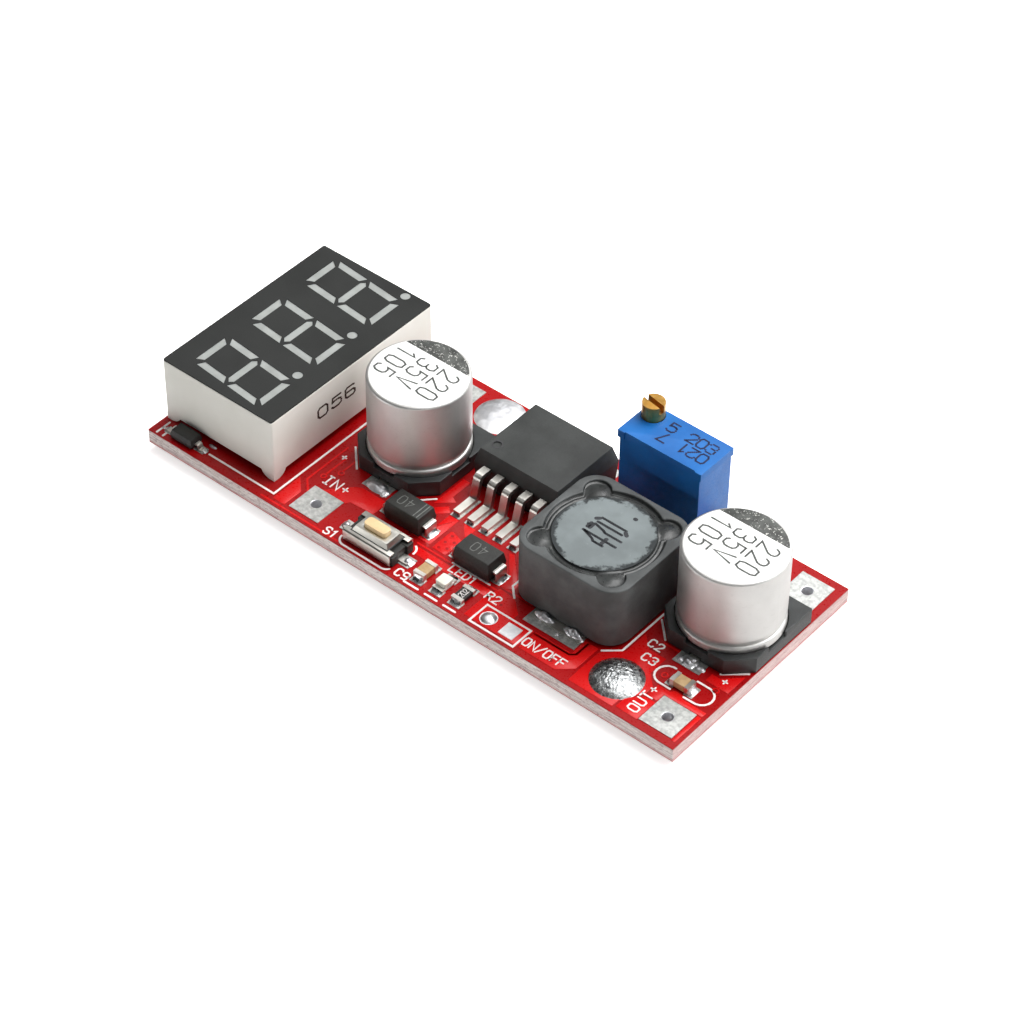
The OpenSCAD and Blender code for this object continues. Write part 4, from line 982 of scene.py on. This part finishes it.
# %% Film and numbers on the capacitors
CAN_TOP = extent("input_capacitor_can")[1].z
FILM_R = 4.66
FILM_TOP = CAN_TOP + 0.015
INK_LOW = CAN_TOP + 0.014
SEGMENT_AT = 2.62


def film_segment(cx, cy):
    """The outline of the black segment on the far side of the film."""
    start = math.asin(SEGMENT_AT / FILM_R)
    return [around(cx, cy, FILM_R, start + (math.pi - 2 * start) * k / 40) for k in range(41)]


cans = [centre("input_capacitor_can"), centre("output_capacitor_can")]
films = [circle(c.x, c.y, FILM_R, 96)[:-1] for c in cans]
segments = [film_segment(c.x, c.y) for c in cans]
plates("can_films", films, CAN_TOP, FILM_TOP, "can film", edge=0.01)
plates("can_segments", segments, INK_LOW, CAN_TOP + 0.026, "can segment", edge=0.006)
values = []
for c in cans:
    for text, line_at in (("220", 1.42), ("35V", -1.2), ("105", -3.8)):
        values += writing(text, (c.x + line_at, c.y + 1.85), -90, 2.08, 1.55, 0.73)
printed("can_values", values, 0.19, INK_LOW, "can ink", thick=0.01)
print("capacitor prints:", len(values), "strokes")

# %% Number on the coil
COIL_DOT_W, COIL_DOT_STEP, COIL_BLOCK_W = 0.29, 0.19, 0.4
coil = centre("inductor_drum")
COIL_TOP = extent("inductor_drum")[1].z
coil_strokes = [
    [(-1.4, 1.5), (1.3, 1.5)], [(-1.4, .85), (1.3, .85)],
    [(-1.9, .1), (-1.4, .5), (-.3, .25), (.0, .1), (1.8, .1)],
    [(-1.8, -.75), (1.85, -.75)], [(-1.6, -.8), (-.5, -1.15), (-.2, -1.38), (.85, -1.38)],
]
coil_blocks = [
    [(-1.8, 1.1), (-1.55, 1.3)], [(1.4, 1.3), (1.7, 1.05)], [(-1.75, .35), (-1.75, -.2)],
    [(-1.5, .35), (-1.5, -.2)], [(.6, -.45), (.6, -1.25)], [(.92, 3.25), (1.02, 3.25)],
]


def on_coil(strokes):
    """Strokes moved to the middle of the coil."""
    return [[(coil.x + x, coil.y + y) for x, y in stroke] for stroke in strokes]


needled = dotted(on_coil(coil_strokes), COIL_DOT_STEP)
printed("coil_number", needled, COIL_DOT_W, COIL_TOP, "coil ink")
printed("coil_number_blocks", on_coil(coil_blocks), COIL_BLOCK_W, COIL_TOP, "coil ink", thick=0.01)
print("dots on the coil:", len(needled))

# %% Numbers on the resistor and the diodes
resistor = centre("lamp_resistor_body")
RESISTOR_TOP = extent("lamp_resistor_body")[1].z
number = centred("202", (resistor.x, resistor.y), 90, 0.6, 0.34, 0.74)
printed("resistor_number", number, 0.05, RESISTOR_TOP, "white ink", thick=0.006)
diode_low, diode_high = extent("input_diode_body")
BAND_AT, BAND_SHORT = (0.5, 0.9), 0.35
band = [[(diode_high.x - off, diode_low.y + BAND_SHORT), (diode_high.x - off, diode_high.y - BAND_SHORT)]
        for off in BAND_AT]
printed("diode_band", band, 0.1, diode_high.z, "grey ink", thick=0.008)
marks = centred("40", (diode_low.x + 1.75, centre("input_diode_body").y), 180, 1.1, 0.95, 0.9)
catch = centre("catch_diode_body")
marks += centred("40", (catch.x, catch.y), 180, 1.1, 0.95, 0.9)
printed("diode_numbers", marks, 0.08, diode_high.z, "grey ink", thick=0.008)
print("prints so far:", len(made))

# %% [markdown]
# ## Two lines of painted shade
#
# Shade falls where a wall meets a floor: round the dimple that marks the regulator's
# first lead, and in the crease where the button cover's raised frame leaves its sheet. Light alone
# shows these corners too faintly at this size, so a thin dark line of painted shade is laid into each.

# %% Painted shade in the dimple and in the crease
DIMPLE_IN, DIMPLE_LINE_R, DIMPLE_LINE_W = (1.35, 1.8), 0.5, 0.16
body_low, body_high = extent("regulator_body")
dimple = circle(body_low.x + DIMPLE_IN[0], body_low.y + DIMPLE_IN[1], DIMPLE_LINE_R, 24)
# a dark ring of painted shade round the regulator's dimple
printed("regulator_dimple_shade", [dimple], DIMPLE_LINE_W, body_high.z - 0.01, "painted shade ink", thick=0.016)
CREASE_IN, CREASE_DOWN, CREASE_W = (0.68, 0.48), 0.505, 0.17
cover_low, cover_high = extent("switch_cover")
x0, x1 = cover_low.x + CREASE_IN[0], cover_high.x - CREASE_IN[0]
y0, y1 = cover_low.y + CREASE_IN[1], cover_high.y - CREASE_IN[1]
crease = [(x0, y0), (x1, y0), (x1, y1), (x0, y1), (x0, y0)]
# a dark frame of painted shade in the cover's crease
printed("cover_crease_shade", [crease], CREASE_W, cover_high.z - CREASE_DOWN, "painted shade ink", thick=0.02)
print("dark lines:", [piece.name for piece in made[-2:]])

# %% Dotted numbers on the trimmer
trim_low, trim_high = extent("trimmer_housing")
numbers = (writing("203", (trim_low.x + 5.54, trim_low.y + 2.78), 0, 1.2, 1.1, 1.18)
           + writing("5", (trim_low.x + 3.3, trim_low.y + 2.78), 0, 1.2, 1.1, 1.18)
           + writing("021", (trim_low.x + 8.7, trim_low.y + 2.4), 180, 1.2, 1.1, 1.18)
           + writing("7", (trim_low.x + 4.3, trim_low.y + 2.4), 180, 1.2, 1.1, 1.18))
printed("trimmer_numbers", dotted(numbers, 0.17), 0.21, trim_high.z, "navy ink", thick=0.008)
print("strokes on the trimmer:", len(numbers))

# %% Dotted number on the display's side


def on_shell_side(p, h):
    """A place on the display's side that faces the other parts: p is along Y and up."""
    return at(display_high.x + h, p[0], p[1])


side_dots = dotted(writing("056", (8.6, 3.68), 0, 1.2, 1.9, 1.75), 0.19)
printed("display_numbers", side_dots, 0.24, 0.0, "brown ink", surface=on_shell_side)
print("dots on the display:", len(side_dots))

# %% [markdown]
# ## Glue round the coil
#
# The gap between the coil's upper flange and the ferrite ring is filled with dark glue. It creeps
# up both walls, sags between them in shallow ridges and stands in a soft hump in each of the four
# lobes. A grid that runs from the flange out to the edge of the opening takes that form.

# %% Glue in the ring's opening
ring = centre("inductor_shield")
CLEAR = 0.02
flange_low, flange_high = extent("inductor_drum")
GLUE_INNER = (flange_high.x - flange_low.x) / 2 + CLEAR
GLUE_LOW, GLUE_TOP = (corner.z for corner in extent("inductor_glue"))
OPENING_R, LOBE_R, LOBE_AT = 5.55, 1.3, 5.65
LOBES = [math.radians(degrees) for degrees in (45, 135, 225, 315)]


def opening(t):
    """How far the ring's opening reaches at an angle."""
    reach = OPENING_R
    for lobe in LOBES:
        aside = LOBE_AT * math.sin(lobe - t)
        if math.cos(lobe - t) > 0 and abs(aside) < LOBE_R:
            reach = max(reach, LOBE_AT * math.cos(lobe - t) + math.sqrt(LOBE_R ** 2 - aside ** 2))
    return reach - CLEAR


CREEP = 0.1
RIDGE_H, RIDGE_PITCH, RIDGE_AT = 0.03, 0.42, 5.12
NARROW, WIDE = 0.8, 1.1
HUMP_H, HUMP_R = 0.16, 0.85
SAG = 0.12
MOST_OVER = 0.08


def glue_height(share, room, x, y):
    """Height of the glue: share runs from the flange to the opening's edge, a distance of room.

    It creeps up both walls, has ridges where the gap is narrow, and a hump in each lobe.
    """
    r = GLUE_INNER + share * room
    creep = CREEP * (math.exp(-(r - GLUE_INNER) / CREEP) + math.exp(-(1 - share) * room / CREEP))
    narrowness = min(1.0, max(0.0, 1 - (room - NARROW) / (WIDE - NARROW)))
    ridges = RIDGE_H * math.cos((r - RIDGE_AT) * 2 * math.pi / RIDGE_PITCH) * narrowness
    hump = 0.0
    for lobe in LOBES:
        lx, ly = around(ring.x, ring.y, LOBE_AT - 0.05, lobe)
        hump += HUMP_H * math.exp(-(math.hypot(x - lx, y - ly) / HUMP_R) ** 2)
    sag = -SAG + 0.03 * ripple(x, y, 0.9, 3.0) + 0.008 * ripple(x, y, 0.4, 5.0)
    return min(GLUE_TOP + MOST_OVER, GLUE_TOP + sag + creep + ridges + hump)


SPOKES, RINGS = 288, 22
verts, faces = [], []
for k in range(SPOKES):
    t = 2 * math.pi * k / SPOKES
    room = opening(t) - GLUE_INNER
    for i in range(RINGS + 1):
        x, y = around(ring.x, ring.y, GLUE_INNER + room * i / RINGS, t)
        verts.append(at(x, y, glue_height(i / RINGS, room, x, y)))
    for r in (GLUE_INNER + room, GLUE_INNER):
        verts.append(at(*around(ring.x, ring.y, r, t), GLUE_LOW))
COLUMN = RINGS + 3
for k in range(SPOKES):
    a, b = k * COLUMN, ((k + 1) % SPOKES) * COLUMN
    for i in range(COLUMN):
        j = (i + 1) % COLUMN
        faces.append((a + i, a + j, b + j, b + i))
glue = add_piece("coil_glue", mesh_from("coil_glue", [(verts, faces)]), "coil resin")
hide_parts("inductor_glue")
print("glue faces:", len(faces))

# %% [markdown]
# ## Solder
#
# Molten solder wets the metal and draws itself up: a hollow slope from a part's end down to its
# pad, a round lump where there is more of it, and a broad dome where a mounting hole is filled.
# Each is a small mound of its own, with a little noise so that no two look alike.

# %% Slopes of solder at the ends of the small parts


PAD_TOP = 0.06
ACROSS, ALONG = 10, 8


def slope(foot, heading, width, reach, height, seed):
    """A hollow slope of solder. foot is the middle of its high side, heading the way it runs down.

    u runs across it from -1 to 1, and v down it from 0 to 1. Its front is rounded, its sides pull
    in towards the front, and a thin skin of solder runs out to the edge.
    """
    ahead, side = axes(heading)
    verts = []
    for i in range(ALONG + 1):
        v = i / ALONG
        for j in range(ACROSS + 1):
            u = 2 * j / ACROSS - 1
            out = reach * v * (1 - 0.12 * u * u)
            aside = width / 2 * u * (1 + 0.1 * v - 0.25 * v * u * u)
            p = Vector(foot) + ahead * out + side * aside
            hollow = height * (1 - v) ** 2.0 * (1 - 0.3 * u ** 4)
            skin = 0.05 * (1 - u ** 6) * (1 - v ** 4)
            h = (hollow + skin) * (1 + 0.22 * ripple(p.x, p.y, 0.35, seed))
            verts.append(at(p.x, p.y, PAD_TOP + max(h, 0.004)))
    top = len(verts)
    verts += [at(*((v - at(0, 0)) / MM).xy, PAD_TOP - 0.01) for v in verts]
    faces = []
    row = ACROSS + 1
    for i in range(ALONG):
        for j in range(ACROSS):
            a = i * row + j
            faces.append((a, a + row, a + row + 1, a + 1))
            faces.append((top + a, top + a + 1, top + a + row + 1, top + a + row))
    edge = list(range(ACROSS)) + [i * row + ACROSS for i in range(ALONG)]
    edge += [ALONG * row + ACROSS - j for j in range(ACROSS)] + [(ALONG - i) * row for i in range(ALONG)]
    for a, b in zip(edge, edge[1:] + edge[:1]):
        faces.append((a, b, top + b, top + a))
    return verts, faces


slopes = []


def solder_ends(node, width, reach, height, along_x):
    """Slopes at both ends of a part that lies along X or along Y."""
    low, high = extent(node)
    mid = (low + high) / 2
    if along_x:
        places = (((low.x, mid.y), 180), ((high.x, mid.y), 0))
    else:
        places = (((mid.x, low.y), 270), ((mid.x, high.y), 90))
    for place, heading in places:
        slopes.append(slope(place, heading, width, reach, height, seed=len(slopes) * 1.7))


solder_ends("filter_capacitor_ends", 1.15, 0.5, 0.5, False)
solder_ends("lamp_ends", 1.1, 0.5, 0.22, False)
solder_ends("lamp_resistor_ends", 1.15, 0.5, 0.36, False)
solder_ends("output_chip_ends", 1.15, 0.5, 0.5, True)
solder_ends("input_diode_leads", 1.35, 0.45, 0.3, True)
solder_ends("catch_diode_leads", 1.35, 0.45, 0.3, True)
solder_ends("small_diode_leads", 0.6, 0.35, 0.2, True)
solder_ends("input_capacitor_leads", 1.3, 0.7, 0.22, False)
solder_ends("output_capacitor_leads", 1.3, 0.7, 0.22, False)
solder_ends("switch_terminals", 0.9, 0.4, 0.16, True)
LEADS, LEAD_PITCH, LEAD_HALF = 5, 1.7, 0.4
lead_low = extent("regulator_leads")[0]
for i in range(LEADS):
    x = lead_low.x + LEAD_HALF + i * LEAD_PITCH
    slopes.append(slope((x, lead_low.y), 270, 0.78, 0.3, 0.3, seed=20.0 + i))
add_piece("solder_slopes", mesh_from("solder_slopes", slopes), "solder")
print("solder slopes:", len(slopes))

# %% Lumps of solder: place, half widths, height, foot, seed and unevenness
lumps = [
    blob((22.1, 8.1), (1.3, 0.72), 0.34, 0.05, 1.0, 0.35),
    blob((23.1, 7.9), (0.42, 0.55), 0.22, 0.05, 2.0, 0.4),
    blob((58.0, 9.25), (0.95, 0.55), 0.32, 0.05, 3.0, 0.6),
    blob((59.2, 9.1), (0.55, 0.4), 0.18, 0.05, 4.0, 0.5),
    blob((57.2, 9.0), (0.4, 0.35), 0.16, 0.05, 5.0, 0.5),
    blob((44.9, 4.95), (1.3, 0.5), 0.62, 0.05, 6.0, 0.45),
    blob((48.1, 5.0), (1.25, 0.5), 0.6, 0.05, 7.0, 0.45),
    blob((46.95, 4.15), (0.22, 0.2), 0.12, 0.05, 8.0, 0.3),
    blob((30.75, 2.45), (0.42, 0.5), 0.36, 0.05, 9.0, 0.4),
    blob((23.3, 2.45), (0.4, 0.45), 0.3, 0.05, 10.0, 0.4),
    blob((6.4, 2.2), (0.5, 0.22), 0.16, 0.0, 11.0, 0.4),
]
add_piece("solder_lumps", mesh_from("solder_lumps", lumps), "pale solder")
print("solder lumps:", len(lumps))

# %% Filled mounting holes


DOME_R = 2.55
DOME_FULL = 0.93
SMOOTH_RIM = 0.86
GRAIN_ROOM = 0.04


def dome(middle, height, z, rough, seed):
    """A broad dome of solder with a smooth rim and a grainy middle. Its height may be negative."""
    def reach(t):
        return DOME_R * (1 + 0.012 * uneven(t, 2, seed))

    def rise(share, x, y):
        up = (1 - share ** 2.4) ** 0.85
        grainy = max(0.0, 1 - (share / SMOOTH_RIM) ** 6)
        grain = rough * (0.03 * ripple(x, y, 0.55, seed) + 0.035 * ripple(x, y, 0.24, seed + 7)
                         + 0.035 * ripple(x, y, 0.13, seed + 13))
        return height * (up * DOME_FULL) + math.copysign(1, height) * grain * grainy

    return mound_points(middle, reach, rise, 44, 120, z)


solder_low, solder_high = extent("mounting_solder")
OVER = solder_high.z - GRAIN_ROOM
UNDER = -BOARD_T - solder_low.z - GRAIN_ROOM
front_dome = (solder_high.x - DOME_R, solder_low.y + DOME_R)
back_dome = (solder_low.x + DOME_R, solder_high.y - DOME_R)
domes = [
    dome(front_dome, OVER, 0.0, 1.0, 1.0),
    dome(back_dome, OVER * 0.55, 0.0, 0.12, 2.0),
    dome(front_dome, -UNDER, -BOARD_T, 0.5, 3.0),
    dome(back_dome, -UNDER, -BOARD_T, 0.5, 4.0),
]
filled = add_piece("mounting_domes", mesh_from("mounting_domes", domes), "grainy solder")

# the back dome froze smooth and pale, the front one grainy
filled.data.materials.append(MATERIALS["pale solder"])
for face in filled.data.polygons:
    if face.center.x < at(front_dome[0], 0).x - 0.01:
        face.material_index = 1
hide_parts("mounting_solder")
print("domes:", front_dome, back_dome)

# %% Tin in the terminal holes
TIN_INNER, TIN_OUTER = 0.52, 0.59
TIN_LOW, TIN_HIGH = -1.6, 0.058
PAD_HALF = 1.8
STEPS = 40


def sleeve(x, y):
    """A thin tube that lines a hole, with a small rounded lip on top."""
    profile = [(TIN_OUTER, TIN_LOW), (TIN_INNER, TIN_LOW), (TIN_INNER, TIN_HIGH - 0.05),
               (TIN_INNER + 0.02, TIN_HIGH - 0.01), (TIN_INNER + 0.06, TIN_HIGH), (TIN_OUTER, TIN_HIGH)]
    verts = [at(*around(x, y, r, 2 * math.pi * k / STEPS), z) for k in range(STEPS) for r, z in profile]
    n = len(profile)
    faces = []
    for k in range(STEPS):
        a, b = k * n, ((k + 1) % STEPS) * n
        for i in range(n):
            j = (i + 1) % n
            faces.append((a + i, a + j, b + j, b + i))
    return verts, faces


low, high = extent("terminal_pads")
rows = (low.y + PAD_HALF, high.y - PAD_HALF)
holes = [(x, y) for y in rows for x in (low.x + PAD_HALF, high.x - PAD_HALF)]
linings = mesh_from("hole_linings", [sleeve(x, y) for x, y in holes])
add_piece("hole_linings", linings, "pale solder")
print("lined holes:", len(holes))

# %% [markdown]
# ## Floor, light and finish
#
# The board lies on a pale table under a broad lamp that hangs above and behind it, with a smaller
# one to the right and a dimmer room in front. The tops are then bright, and the faces that look to
# the front are dark. What light they get comes up from the table and from a weak, low lamp in
# front. The floor glows for the camera alone, so that it looks white without more light on the
# board, and it keeps the board's shadow.

# %% Floor
FLOOR_HALF = 1.5
FLOOR_GLOW = 0.7
floor_mesh = bpy.data.meshes.new("floor")
corners = [(x * FLOOR_HALF, y * FLOOR_HALF, 0) for x, y in ((-1, -1), (1, -1), (1, 1), (-1, 1))]
floor_mesh.from_pydata(corners, [], [(0, 1, 2, 3)])
floor = bpy.data.objects.new("floor", floor_mesh)
bpy.context.scene.collection.objects.link(floor)
sheet, shader = material("floor", Roughness=0.9, Specular_IOR_Level=0.1,
                         Emission_Color=(1.0, 1.0, 0.995, 1.0))
ray = sheet.put("ShaderNodeLightPath")
white_for = sheet.larger(ray.outputs["Is Camera Ray"], ray.outputs["Is Transmission Ray"])
feed(sheet, shader, Base_Color=sheet.mix(sheet.noise(30.0), (238, 237, 236), (242, 241, 240)),
     Emission_Strength=sheet.times(white_for, FLOOR_GLOW))
floor_mesh.materials.append(MATERIALS["floor"])
print("floor:", FLOOR_HALF * 2, "m wide")

# %% Lamps


def lamp(name, place, target, size, power):
    """A rectangular area lamp, placed and aimed in metres."""
    data = bpy.data.lights.new(name, "AREA")
    data.shape = "RECTANGLE"
    data.size, data.size_y = size
    data.energy = power
    light = bpy.data.objects.new(name, data)
    bpy.context.scene.collection.objects.link(light)
    light.location = place
    light.rotation_euler = (Vector(target) - Vector(place)).to_track_quat("-Z", "Y").to_euler()


lamp("overhead", (0.12, 0.26, 0.52), (0, 0, 0), (0.6, 0.5), 5.6)
lamp("right", (0.5, 0.34, 0.24), (0, 0, 0), (0.35, 0.3), 0.9)
lamp("front low", (-0.3, -0.5, 0.03), (-0.03, 0, 0), (0.4, 0.04), 0.5)

# %% The room: bright above and behind, dark in front
ROOM_BRIGHT_SIDE = Vector((0.35, 0.55, 0.76)).normalized()
ROOM_DARK, ROOM_BRIGHT = 0.03, 0.6
world = bpy.data.worlds.new("world")
bpy.context.scene.world = world
world.use_nodes = True
background = world.node_tree.nodes["Background"]
background.inputs["Color"].default_value = (1, 1, 1, 1)
room = Sheet(world.node_tree)
gaze = room.put("ShaderNodeTexCoord").outputs["Generated"]
facing = room.put("ShaderNodeVectorMath", {0: gaze, 1: ROOM_BRIGHT_SIDE},
                  operation="DOT_PRODUCT").outputs["Value"]
room.tree.links.new(room.span(facing, 0.0, 0.8, ROOM_DARK, ROOM_BRIGHT), background.inputs["Strength"])
bpy.context.scene.view_settings.view_transform = "Standard"
print("room:", ROOM_DARK, "to", ROOM_BRIGHT)

# %% Sizes and the end
print("triangles:", sum(len(f.vertices) - 2 for o in made for f in o.data.polygons))
